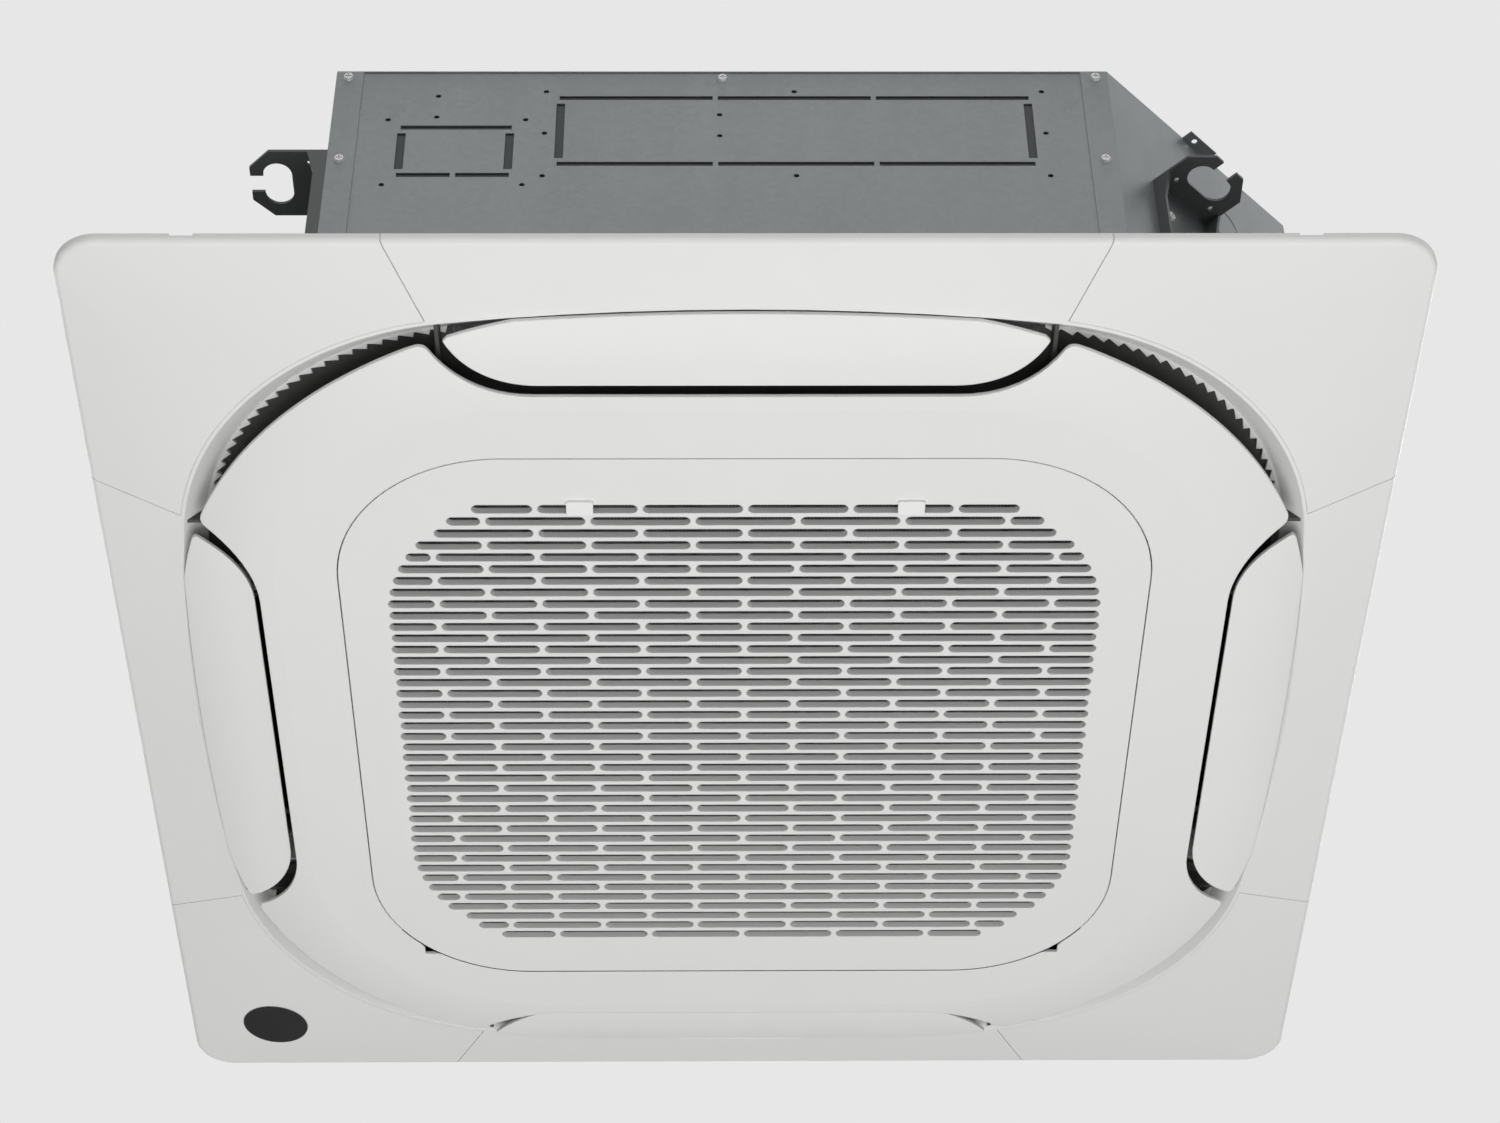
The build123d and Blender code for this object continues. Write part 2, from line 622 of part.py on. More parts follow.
def circles_meet(c0, r0, c1, r1):
    """The crossing of two circles that lies further along +x."""
    dx, dy = c1[0] - c0[0], c1[1] - c0[1]
    d = hypot(dx, dy)
    a = (r0**2 - r1**2 + d**2) / (2 * d)
    h = sqrt(r0**2 - a**2)
    mid = (c0[0] + a * dx / d, c0[1] + a * dy / d)
    options = [(mid[0] + h * dy / d, mid[1] - h * dx / d), (mid[0] - h * dy / d, mid[1] + h * dx / d)]
    return max(options)


def plate_outline():
    """Plan outline: a large arc at each corner and a shallow notch with arc ends beside each louvre."""
    centre = plate_corner - PLATE_CORNER_RADIUS / sqrt(2)
    corner = (centre, -centre)
    notch = (NOTCH_HALF, -slot_inner - NOTCH_RADIUS)
    tip = circles_meet(notch, NOTCH_RADIUS, corner, PLATE_CORNER_RADIUS)
    tip_angle = degrees(atan2(tip[0] - centre, -(tip[1] + centre)))
    notch_angle = degrees(atan2(tip[0] - notch[0], tip[1] - notch[1]))
    edges = []
    for turns in range(4):
        def notch_end(side, start, end):
            def at(angle):
                x = side * (NOTCH_HALF + NOTCH_RADIUS * sin(radians(angle)))
                return turned(x, notch[1] + NOTCH_RADIUS * cos(radians(angle)), turns)
            return ThreePointArc(at(start), at((start + end) / 2), at(end))
        edges.append(notch_end(-1, notch_angle, 0))
        edges.append(Line(turned(-NOTCH_HALF, -slot_inner, turns), turned(NOTCH_HALF, -slot_inner, turns)))
        edges.append(notch_end(1, 0, notch_angle))
        edges.append(arc_piece(corner, PLATE_CORNER_RADIUS, tip_angle, 90 - tip_angle, turns, 0))
    face = make_face(edges)
    reach = hypot(*tip)
    tips = [v for v in face.vertices() if abs(hypot(v.X, v.Y) - reach) < 0.5]
    return fillet(tips, TIP_RADIUS)


def make_centre_plate():
    low = -PLATE_DEPTH
    outline = plate_outline()
    plate = (dome(0, -PLATE_BRIM + 2) & slab(outline, low - 1, -PLATE_BRIM + 2)) - dome(PLATE_SKIN, -PLATE_BRIM + 9)
    plate += slab(rounded(grille_opening + PLATE_SKIN, GRILLE_RADIUS + PLATE_SKIN), low, low + RIB_DEPTH)
    plate -= slab(rounded(grille_opening, GRILLE_RADIUS), low - 1, low + RIB_DEPTH + 1)
    # behind the hinge line the door's edge swings up, so the opening widens upwards there
    relief = loft([Pos(0, 0, low) * rounded(grille_opening, GRILLE_RADIUS),
                   Pos(0, 0, low + RIB_DEPTH) * rounded(grille_opening + RELIEF, GRILLE_RADIUS + RELIEF)], ruled=True)
    plate -= relief & block((-grille_half * 1.2, hinge_y - 26, low - 1), (grille_half * 1.2, grille_half * 1.2, low + RIB_DEPTH))
    # beside the hinges the door's outer face swings back past the opening's rounded corners
    reach = hinge_z + PLATE_DEPTH
    start, turn = hinge_y - 1.65 * reach, hinge_y - 0.45 * reach
    widest, side = door_half(start) + GRILLE_GAP, door_half(hinge_y - reach) + GRILLE_GAP
    nick = Polygon((widest - 20, start), (widest, start), (side, turn), (side, hinge_y + reach + 0.5),
                   (widest - 20, hinge_y + reach + 0.5), align=None)
    nick = slab(nick, low - 1, low + RIB_DEPTH + 1)
    plate -= nick
    plate -= mirror(nick, about=Plane.YZ)
    NODES["centre_plate"] = plate


def door_half(y):
    """Half the door's width at a depth y beside its rounded rear corners."""
    radius = GRILLE_RADIUS - GRILLE_GAP
    centre = grille_half - radius
    return centre + sqrt(radius**2 - (y - centre)**2)


# ---------------------------------------------------------------- intake grille
def slot_rows():
    """The staggered slots of the grille, as (centre x, centre y, length)."""
    count = int((field_half - ROW_SLOT / 2) / ROW_PITCH)
    slots = []
    for row in range(-count, count + 1):
        y = row * ROW_PITCH
        straight = field_half - SLOT_FIELD_RADIUS
        beyond = max(0.0, abs(y) - straight)
        end = straight + sqrt(SLOT_FIELD_RADIUS**2 - beyond**2)
        shift = 0.5 if (row + count) % 2 == 0 else 0.0
        steps = int(end / ROW_STEP) + 2
        for step in range(-steps, steps + 1):
            left = (step - 0.5 + shift) * ROW_STEP + SLOT_BRIDGE / 2
            right = left + ROW_STEP - SLOT_BRIDGE
            left, right = max(left, -end), min(right, end)
            if right - left > SHORTEST_SLOT:
                slots.append(((left + right) / 2, y, right - left))
    return slots


def make_grille():
    low = -PLATE_DEPTH
    field = field_half + 6.0
    holes = Sketch() + [Pos(x, y) * SlotOverall(length, ROW_SLOT) for x, y, length in slot_rows()]
    grille = slab(rounded(grille_half, GRILLE_RADIUS - GRILLE_GAP) - holes, low, low + GRILLE_SKIN)
    grille += slab(rounded(field, SLOT_FIELD_RADIUS + 3) - holes, low + GRILLE_SKIN, low + RIB_DEPTH)
    rim_inner = rounded(grille_half - PLATE_SKIN, GRILLE_RADIUS - GRILLE_GAP - PLATE_SKIN)
    rim_face_ = rounded(grille_half - 0.5, GRILLE_RADIUS - GRILLE_GAP - 0.5) - rim_inner
    lip = slab(rim_face_, low + GRILLE_SKIN, low + RIB_DEPTH - 0.4)
    for side in (-1, 1):
        lip -= block((side * hinge_x - 8, hinge_y, low), (side * hinge_x + 8, grille_half, low + RIB_DEPTH))
    grille += lip
    for side in (-1, 1):
        for knuckle in (-1, 1):
            inner = side * hinge_x + knuckle * (HINGE_ARM / 2 + SIDE_GAP)
            outer = inner + knuckle * 4.0
            x0, x1 = min(inner, outer), max(inner, outer)
            grille += rod_x(x0, x1, hinge_y, hinge_z, HINGE_KNUCKLE_R)
            grille += block((x0, hinge_y - HINGE_KNUCKLE_R, low + GRILLE_SKIN - 0.5),
                            (x1, hinge_y + HINGE_KNUCKLE_R, hinge_z))
        reach = HINGE_ARM / 2 + SIDE_GAP + 2.0
        grille += rod_x(side * hinge_x - reach, side * hinge_x + reach, hinge_y, hinge_z, HINGE_PIN_R)
    NODES["intake_grille"] = grille


def first_row_y():
    """Middle of the front row of slots, where the latches sit."""
    return -int((field_half - ROW_SLOT / 2) / ROW_PITCH) * ROW_PITCH


def make_latches():
    """Each latch is drawn free of the plate. Pushed towards the front, its bolt reaches over the plate's edge."""
    row = first_row_y()
    face = -PLATE_DEPTH
    ribs = face + RIB_DEPTH
    for name, x in (("left", -LATCH_X), ("right", LATCH_X)):
        tab = RectangleRounded(LATCH_WIDTH, LATCH_LENGTH, 2.0)
        latch = Pos(x, row - 2.0, 0) * slab(tab, face - LATCH_PROUD, face - 0.1)
        stem_y = row + ROW_SLOT / 2 - SIDE_GAP - LATCH_STEM
        latch += block((x - 5, stem_y, face - 1), (x + 5, stem_y + LATCH_STEM, ribs + 0.5))
        latch += block((x - 8, -grille_half + 0.6, ribs + 0.2), (x + 8, stem_y + LATCH_STEM, ribs + 0.2 + LATCH_BOLT))
        NODES["grille_latch_" + name] = latch


def make_filter():
    ribs = -PLATE_DEPTH + RIB_DEPTH
    low = ribs + FILTER_FOOT
    high = low + FILTER_HEIGHT
    half = grille_half - FILTER_BORDER
    radius = SLOT_FIELD_RADIUS
    frame = slab(rounded(half, radius) - rounded(half - FILTER_BAR, radius - FILTER_BAR), low, high)
    spacing = 2 * half / (FILTER_BARS + 1)
    inside = slab(rounded(half - 1, radius - 1), low, high)
    for bar in range(FILTER_BARS):
        at = -half + (bar + 1) * spacing
        frame += block((at - 1.5, -half, low), (at + 1.5, half, high)) & inside
        frame += block((-half, at - 1.5, low), (half, at + 1.5, high)) & inside
    frame += slab(rounded(half - FILTER_BAR / 2, radius - FILTER_BAR / 2), low + 2.6, low + 3.4)
    for x, y in ((-1, 0), (1, 0), (0, 1), (0, -1)):
        reach = half - FILTER_BAR / 2
        frame += post(x * reach, y * reach, 3.8, ribs, low + 1)
    NODES["air_filter"] = frame


# ---------------------------------------------------------------- louvres
def louvre_plan():
    """Plan outline of the front louvre: straight inner edge with arc ends, bowed outer edge, blunt tips."""
    inner = -louvre_inner
    end = (LOUVRE_END_HALF, inner - LOUVRE_END_RADIUS)
    tip_x = LOUVRE_HALF
    tip_y = end[1] + sqrt(LOUVRE_END_RADIUS**2 - (tip_x - end[0])**2)
    half_angle = atan2(tip_x - end[0], tip_y - end[1]) / 2
    bend = (end[0] + LOUVRE_END_RADIUS * sin(half_angle), end[1] + LOUVRE_END_RADIUS * cos(half_angle))
    outer = -(lip_mid - LOUVRE_LIP_GAP)
    shoulder_x = LOUVRE_HALF - 48.0
    shoulder_y = outer + 5.0
    edges = [
        Line((-end[0], inner), (end[0], inner)),
        ThreePointArc((end[0], inner), bend, (tip_x, tip_y)),
        Line((tip_x, tip_y), (tip_x - 3, tip_y - 3)),
        ThreePointArc((tip_x - 3, tip_y - 3), (tip_x - 24, tip_y - 9), (shoulder_x, shoulder_y)),
        ThreePointArc((shoulder_x, shoulder_y), (0, outer), (-shoulder_x, shoulder_y)),
        ThreePointArc((-shoulder_x, shoulder_y), (-tip_x + 24, tip_y - 9), (-tip_x + 3, tip_y - 3)),
        Line((-tip_x + 3, tip_y - 3), (-tip_x, tip_y)),
        ThreePointArc((-tip_x, tip_y), (-bend[0], bend[1]), (-end[0], inner)),
    ]
    return make_face(edges)


def louvre_section(lift):
    """The blade's cross-section, drawn (outwards, up) and run along the side."""
    inner, outer = louvre_inner - 0.5, lip_mid - LOUVRE_LIP_GAP + 0.5
    middle = (inner + outer) / 2
    lower = [(inner, -LOUVRE_INNER_DEPTH + lift), (middle, -LOUVRE_MID_DEPTH + lift), (outer, -LOUVRE_OUTER_DEPTH + lift)]
    return lower


def make_louvres():
    low, high = louvre_section(0), louvre_section(LOUVRE_THICK)
    section = make_face([ThreePointArc(*low), Line(low[2], high[2]), ThreePointArc(*reversed(high)), Line(high[0], low[0])])
    blade = across(section, -LOUVRE_HALF - 5, LOUVRE_HALF + 5) & slab(louvre_plan(), -LOUVRE_INNER_DEPTH - 5, 0)
    axis_y, axis_z = -louvre_axis_u, -LOUVRE_AXIS_DEPTH
    blade_top = -LOUVRE_INNER_DEPTH + LOUVRE_THICK
    for side in (-1, 1):
        lug_outer = POST_AT - SIDE_GAP
        x0, x1 = sorted((side * lug_outer, side * (lug_outer - LOUVRE_LUG)))
        blade += rod_x(x0, x1, axis_y, axis_z, LOUVRE_LUG_R)
        blade += block((x0, axis_y - LOUVRE_LUG_R, blade_top - 1), (x1, axis_y + LOUVRE_LUG_R, axis_z))
        if side < 0:
            pin_end = -POST_AT - POST_THICK
            blade += rod_x(pin_end, x1, axis_y, axis_z, LOUVRE_PIN_R)
        else:
            blade -= rod_x(x0 - 1, x1 + 1, axis_y, axis_z, LOUVRE_PIN_R + RUNNING_GAP)
    for turns, name in enumerate(("front", "right", "rear", "left")):
        NODES["louvre_" + name] = quarter(blade, turns)
    face = POST_AT + POST_THICK
    motor = rod_x(face, face + MOTOR_LENGTH, axis_y, axis_z, MOTOR_R)
    motor += block((face, axis_y - 14, axis_z - 3), (face + 1.2, axis_y + 14, axis_z + 3))
    motor += rod_x(POST_AT - SIDE_GAP - LOUVRE_LUG + 0.5, face + 1, axis_y, axis_z, LOUVRE_PIN_R)
    NODES["louvre_motors"] = Compound(children=[quarter(motor, turns).solid() for turns in range(4)])


# ---------------------------------------------------------------- receiver lens
LENS_R = 27.5
LENS_THICK = 3.0
LENS_TILT = 4.1             # degrees, rising towards the corner


def lens_place():
    """Location on the corner cover's underside with Z pointing out of the panel, downwards."""
    rim_corner = panel_half - RIM_RADIUS * (1 - 1 / sqrt(2))
    reach = (abs(lens_at[0]) + abs(lens_at[1])) / 2
    part = (rim_corner - reach) / (rim_corner - lip_corner)
    depth = RIM_HEIGHT + (LIP_DEPTH - RIM_HEIGHT) * part
    return Pos(lens_at[0], lens_at[1], -depth) * Rot(0, 0, 135) * Rot(0, -LENS_TILT, 0) * Rot(180, 0, 0)


def make_receiver():
    place = lens_place()
    hole = place * Pos(0, 0, 0) * Cylinder(LENS_R + 0.15, 30)
    NODES["corner_cover_rear_left"] = NODES["corner_cover_rear_left"] - hole
    lens = place * Pos(0, 0, -LENS_THICK / 2 + 0.8) * Cylinder(LENS_R, LENS_THICK)
    ring = Pos(0, 0, -SKIN - 1.8) * (Cylinder(LENS_R + 4, 1.6) - Cylinder(LENS_R - 4, 3))
    lens += place * (ring + Pos(0, 0, -SKIN - 0.4) * (Cylinder(LENS_R, 2.0) - Cylinder(LENS_R - 4, 3)))
    NODES["receiver_lens"] = lens
    board = place * Pos(0, 0, -SKIN - 3.4) * Box(44, 34, 1.6)
    board += place * Pos(-8, 0, -SKIN - 1.8) * Box(8, 8, 1.8)
    board += place * Pos(10, 6, -SKIN - 1.9) * Cylinder(2, 1.6)
    NODES["receiver_board"] = board


# ---------------------------------------------------------------- casing sheet metal
def cut_slot(x, z, length, upright=False):
    """A straight knock-out cut in the front wall."""
    size = (KNOCKOUT_CUT_UPRIGHT, 6, length) if upright else (length, 6, KNOCKOUT_CUT)
    return Pos(x, -half_body, z) * Box(*size)


def knockout(centre, size, columns, joined_top=False):
    """The cuts round a knock-out: an interrupted line above and below, one cut at each end."""
    (x, z), (width, height) = centre, size
    cuts = []
    for edge in (-1, 1):
        pieces = 1 if joined_top and edge > 0 else columns
        span = width / pieces
        for i in range(pieces):
            at = x - width / 2 + (i + 0.5) * span
            cuts.append(cut_slot(at, z + edge * height / 2, span - KNOCKOUT_BRIDGE))
        cuts.append(cut_slot(x + edge * (width / 2 - KNOCKOUT_CUT_UPRIGHT / 2), z, height - 2 * KNOCKOUT_BRIDGE - 5, True))
    return cuts


def pilot(x, z):
    """A small hole for a duct screw in the front wall."""
    return rod_y(x, -half_body - 2, -half_body + 6, z, PILOT_R)


def branch_duct_cuts(x=branch_duct_at[0]):
    z = branch_duct_at[1]
    cuts = knockout((x, z), BRANCH_DUCT, 3)
    for across in (-0.5, 0, 0.5):
        for up in (-0.5, 0, 0.5):
            if across or up:
                cuts.append(pilot(x + across * BRANCH_HOLES[0], z - 3 + up * BRANCH_HOLES[1]))
    return cuts


def fresh_air_cuts():
    x, z = fresh_air_at
    cuts = knockout(fresh_air_at, FRESH_AIR, 2, joined_top=True)
    for across in (-0.5, 0.5):
        for up in (-0.5, 0.5):
            cuts.append(pilot(x + across * FRESH_HOLES[0], z - 1 + up * FRESH_HOLES[1]))
    return cuts


def screw(hole_length=SCREW_LENGTH):
    """A pan head screw. Its head's underside is at 0, and it points along -X of its own frame."""
    body = rod_x(-hole_length, 0.2, 0, 0, SCREW_R)
    head = Rot(0, 90, 0) * Cone(SCREW_HEAD_R, SCREW_HEAD_R * 0.75, SCREW_HEAD)
    recess = Pos(SCREW_HEAD, 0, 0) * (Box(1.6, 1.0, 4.6) + Box(1.6, 4.6, 1.0))
    return body + Pos(SCREW_HEAD / 2, 0, 0) * head - recess


def make_casing():
    base, top = body_base, body_top - SHEET
    lap = LAP
    sides = {
        "front": (notch_x, chamfer_at), "right": (-chamfer_at, chamfer_at), "rear": (-chamfer_at, chamfer_at),
        "left": (-chamfer_at, -notch_end_y),
    }
    cuts = {
        "front": branch_duct_cuts() + fresh_air_cuts(),
        "right": branch_duct_cuts(0), "rear": branch_duct_cuts(0), "left": [],
    }
    # the pair of pilot holes inside the branch duct knock-out, and the pair above the fresh air one
    x, z = branch_duct_at
    cuts["front"] += [pilot(x - 55.2, z + 18.4), pilot(x - 55.2, z - 6.0)]
    x, z = fresh_air_at
    cuts["front"] += [pilot(x - 14.9, z + 63.6), pilot(x - 14.9, z + 39.2)]
    places = []
    upper, lower = body_top - 8.0, body_top - 103.0
    for turns, (name, (x0, x1)) in enumerate(sides.items()):
        for x in (x0 + CORNER_SCREW_SETBACK, x1 - CORNER_SCREW_SETBACK):
            for z in (upper, lower):
                places.append((turns, x, z, 0.0))
        places.append((turns, (x0 + x1) / 2, upper, SHEET))
        start = x0 + (2.0 * SHEET if name == "front" else 0.5)
        panel = block((start, -half_body + SHEET, base), (x1 - 0.5, -half_body + 2 * SHEET, top))
        NODES["side_panel_" + name] = (panel, turns, cuts[name])
    corner_paths = {
        "corner_panel_front_right": [(chamfer_at - lap, -half_body), (chamfer_at, -half_body),
                                     (half_body, -chamfer_at), (half_body, -chamfer_at + lap)],
        "corner_panel_rear_right": [(half_body, chamfer_at - lap), (half_body, chamfer_at),
                                    (chamfer_at, half_body), (chamfer_at - lap, half_body)],
        "corner_panel_rear_left": [(-chamfer_at + lap, half_body), (-chamfer_at, half_body),
                                   (-half_body, chamfer_at), (-half_body, chamfer_at - lap)],
        "piping_corner_panel": [(-half_body, notch_end_y + lap), (-half_body, notch_end_y),
                                (notch_x, notch_turn_y), (notch_x, -half_body), (notch_x + lap, -half_body)],
    }
    corners = {name: strip(path, 0, SHEET, base, top) for name, path in corner_paths.items()}
    top_plate = slab(body_face(0), top, body_top)
    top_plate += slab(body_face(2 * SHEET) - body_face(3 * SHEET), top - TOP_FLANGE, top)
    for x in (-110.0, 110.0):
        rib = Pos(x, 0, body_top) * Rot(90, 0, 0) * Cylinder(5.0, 420)
        top_plate += rib & block((x - 6, -210, body_top - 0.5), (x + 6, 210, body_top + 2.0))
    for corner in ("front_right", "rear_right", "rear_left"):
        tab = block((-1, 18, 0), (TAB_OUT, 48, SHEET)) - post(TAB_OUT / 2, 27, 2.2, -1, 2)
        top_plate += bracket_place(CORNERS[corner]) * Pos(0, 0, body_top - SHEET) * tab
    ring = Rot(0, 90, 0) * (Cylinder(PRESSED_RING_R, 0.6) - Cylinder(PRESSED_RING_R - 1.6, 2))
    corners["corner_panel_front_right"] += bracket_place(CORNERS["front_right"]) * Pos(0.2, 57.0, level(180.0)) * ring
    screws = []
    bores = []
    for turns, x, z, inset in places:
        spot = Rot(0, 0, 90 * turns) * Pos(x, -half_body + inset, z) * Rot(0, 0, -90)
        screws.append(spot * screw())
        bores.append(spot * rod_x(-SCREW_LENGTH - 1, 1, 0, 0, SCREW_HOLE_R))
    for corner in CORNERS.values():
        place = bracket_place(corner)
        for y in (-18, 18):
            for z in (72.0, 124.0):
                spot = place * Pos(BRACKET_PLATE, y, z)
                screws.append(spot * screw(7.0))
                bores.append(spot * rod_x(-9, 1, 0, 0, SCREW_HOLE_R))
    all_bores = Part() + bores
    for name in sides:
        panel, turns, panel_cuts = NODES["side_panel_" + name]
        for cut in panel_cuts:
            panel -= cut
        NODES["side_panel_" + name] = quarter(panel, turns) - all_bores
    for name, wall in corners.items():
        NODES[name] = wall - all_bores
    NODES["top_plate"] = top_plate - all_bores
    NODES["casing_screws"] = Compound(children=[s.solid() for s in screws])
    for name, corner in CORNERS.items():
        NODES["hanger_bracket_" + name] = hanger_bracket(corner) - all_bores
    liner = slab(body_face(3 * SHEET) - body_face(3 * SHEET + LINER), pan_top, liner_bottom)
    liner += slab(body_face(3 * SHEET), liner_bottom, liner_top)
    liner -= post(0, 0, MOTOR_BODY_R + 20, liner_bottom - 1, liner_top + 1)
    NODES["foam_liner"] = liner - all_bores


def hanger_bracket(corner):
    """A channel on the wall whose top plate is a hook for the suspension bolt."""
    _, _, out = bolt_point(corner)
    reach = out + HOOK_SLOT_WIDTH / 2 + HOOK_LIP
    half, plate = BRACKET_WIDTH / 2, BRACKET_PLATE
    top = HANG_HEIGHT + plate
    bracket = block((0, -half, 0), (plate, half, top))
    gusset = [(plate - 0.5, 14), (9, 21), (9, HANG_HEIGHT - 22), (15, HANG_HEIGHT + 0.5), (plate - 0.5, HANG_HEIGHT + 0.5)]
    for side in (-1, 1):
        wall = extrude(Polygon(*gusset, align=None), amount=plate)
        start = half if side > 0 else -half + plate
        bracket += Pos(0, start, 0) * Rot(90, 0, 0) * wall
    cut = 15.0
    hook = Polygon((0, -half), (reach - cut, -half), (reach, -half + cut), (reach, half - cut), (reach - cut, half),
                   (0, half), align=None)
    hook -= Pos(out, 0) * SlotOverall(HOOK_SLOT, HOOK_SLOT_WIDTH, rotation=90)
    hook -= Pos(out + 20, 0) * Rectangle(40, HOOK_MOUTH)
    for y in (-19.3, 19.3):
        hook -= Pos(14.0, y) * Circle(2.0)
    bracket += slab(hook, HANG_HEIGHT, top)
    foot = Pos(FOOT_LENGTH / 2, 0) * Rectangle(FOOT_LENGTH, FOOT_WIDTH)
    foot -= Pos(FOOT_HOLE, 0) * Circle(PANEL_SCREW_HOLE_R)
    bracket += slab(foot, 0, plate)
    return bracket_place(corner) * bracket


def make_panel_fixings():
    screws = []
    for corner in CORNERS.values():
        head = -DIAPHRAGM
        body = post(FOOT_HOLE, 0, PANEL_SCREW_R, head - 0.2, BRACKET_PLATE + 6)
        body += post(FOOT_HOLE, 0, 8.0, head - 1.2, head)
        body += post(FOOT_HOLE, 0, 4.5, head - 5.0, head - 1.0)
        screws.append(bracket_place(corner) * body)
    NODES["panel_screws"] = Compound(children=[s.solid() for s in screws])
    outer = slab(body_face(2 * SHEET) - body_face(2 * SHEET + 8.0), 0, SEAL)
    inner = slab(rounded(pan_opening + 24, 130.0) - rounded(pan_opening + 14, 120.0), 0, SEAL)
    # the outer run keeps to the side slots' outside, on the frame's diaphragm
    outer = outer & slab(lip_face(-SKIN / 2, 0), 0, SEAL)
    NODES["panel_seal"] = Compound(children=[*outer.solids(), *inner.solids()])


# ---------------------------------------------------------------- drain pan, bell mouth, electrical box
def make_pan():
    pan = slab(body_face(2 * SHEET), body_base, pan_top)
    pan -= slab(rounded(pan_opening, pan_radius), body_base - 1, pan_top + 1)
    pan -= outlet_slots(body_base - 1, pan_top + 1)
    trough = rounded(coil_outer + TROUGH_WALL, COIL_OUTER_RADIUS + TROUGH_WALL)
    trough -= rounded(pan_opening + TROUGH_WALL, pan_radius + TROUGH_WALL)
    trough = trough & body_face(2 * SHEET + LINER + 2)
    pan -= slab(trough, TROUGH_FLOOR, pan_top + 1)
    NODES["drain_pan"] = pan


def make_bell_mouth():
    half = pan_opening + TROUGH_WALL
    low = body_base - BELL_PLATE
    mouth = bell_throat + BELL_FLARE
    plate = slab(rounded(half, pan_radius + TROUGH_WALL) - Circle(mouth + 6), low, body_base)
    middle = (bell_throat + 5, low + (BELL_TOP - low) * 0.45)
    inner_middle = (middle[0] + SHROUD, middle[1] + 1)
    profile = make_face([
        Line((mouth + 6, low), (mouth, low)),
        ThreePointArc((mouth, low), middle, (bell_throat, BELL_TOP)),
        Line((bell_throat, BELL_TOP), (bell_throat + SHROUD, BELL_TOP)),
        ThreePointArc((bell_throat + SHROUD, BELL_TOP), inner_middle, (mouth + 1, body_base)),
        Line((mouth + 1, body_base), (mouth + 6, body_base)),
        Line((mouth + 6, body_base), (mouth + 6, low)),
    ])
    bell = revolve(Rot(90, 0, 0) * profile, axis=Axis.Z)
    window = block((-BOX_LENGTH / 2 - 1, box_y0() - 1, low - 1), (BOX_LENGTH / 2 + 1, box_y1() + 1, body_base + 1))
    plate -= window
    NODES["bell_mouth"] = plate + bell


def box_y0():
    """Front face of the electrical box, just inside the pan's opening."""
    corner = pan_radius - pan_opening
    reach = BOX_LENGTH / 2 + corner
    return corner - sqrt(pan_radius**2 - max(0.0, reach)**2) + 3.0


def box_y1():
    return box_y0() + BOX_DEPTH


def make_electrics():
    low = body_base - BELL_PLATE
    y0, y1 = box_y0(), box_y1()
    half, high, wall = BOX_LENGTH / 2, low + BOX_HEIGHT, 1.2
    box = block((-half, y0, low), (half, y1, high)) - block((-half + wall, y0 + wall, low - 1), (half - wall, y1 - wall, high - wall))
    NODES["electrical_box"] = box
    cover = block((-half - 4, y0 - 3, low - 2), (half + 4, y1 + 3, low))
    NODES["electrical_box_cover"] = cover
    board = block((-half + 12, y0 + 4, high - 10), (half - 62, y1 - 4, high - 8.4))
    for i, (width, tall) in enumerate(((16, 14), (22, 18), (12, 9), (18, 11))):
        x = -half + 20 + i * 33
        board += block((x, y0 + 10, high - 10 - tall), (x + width, y0 + 30, high - 9.5))
    for x in (-half + 15, half - 65):
        board += post(x, (y0 + y1) / 2, 2.0, high - 9, high - wall)
    NODES["control_board"] = board
    terminals = block((half - 52, y0 + 8, high - 16), (half - 8, y1 - 8, high - wall))
    for i in range(5):
        terminals -= post(half - 46 + i * 8, (y0 + y1) / 2, 2.4, high - 17, high - 9)
    NODES["terminal_block"] = terminals


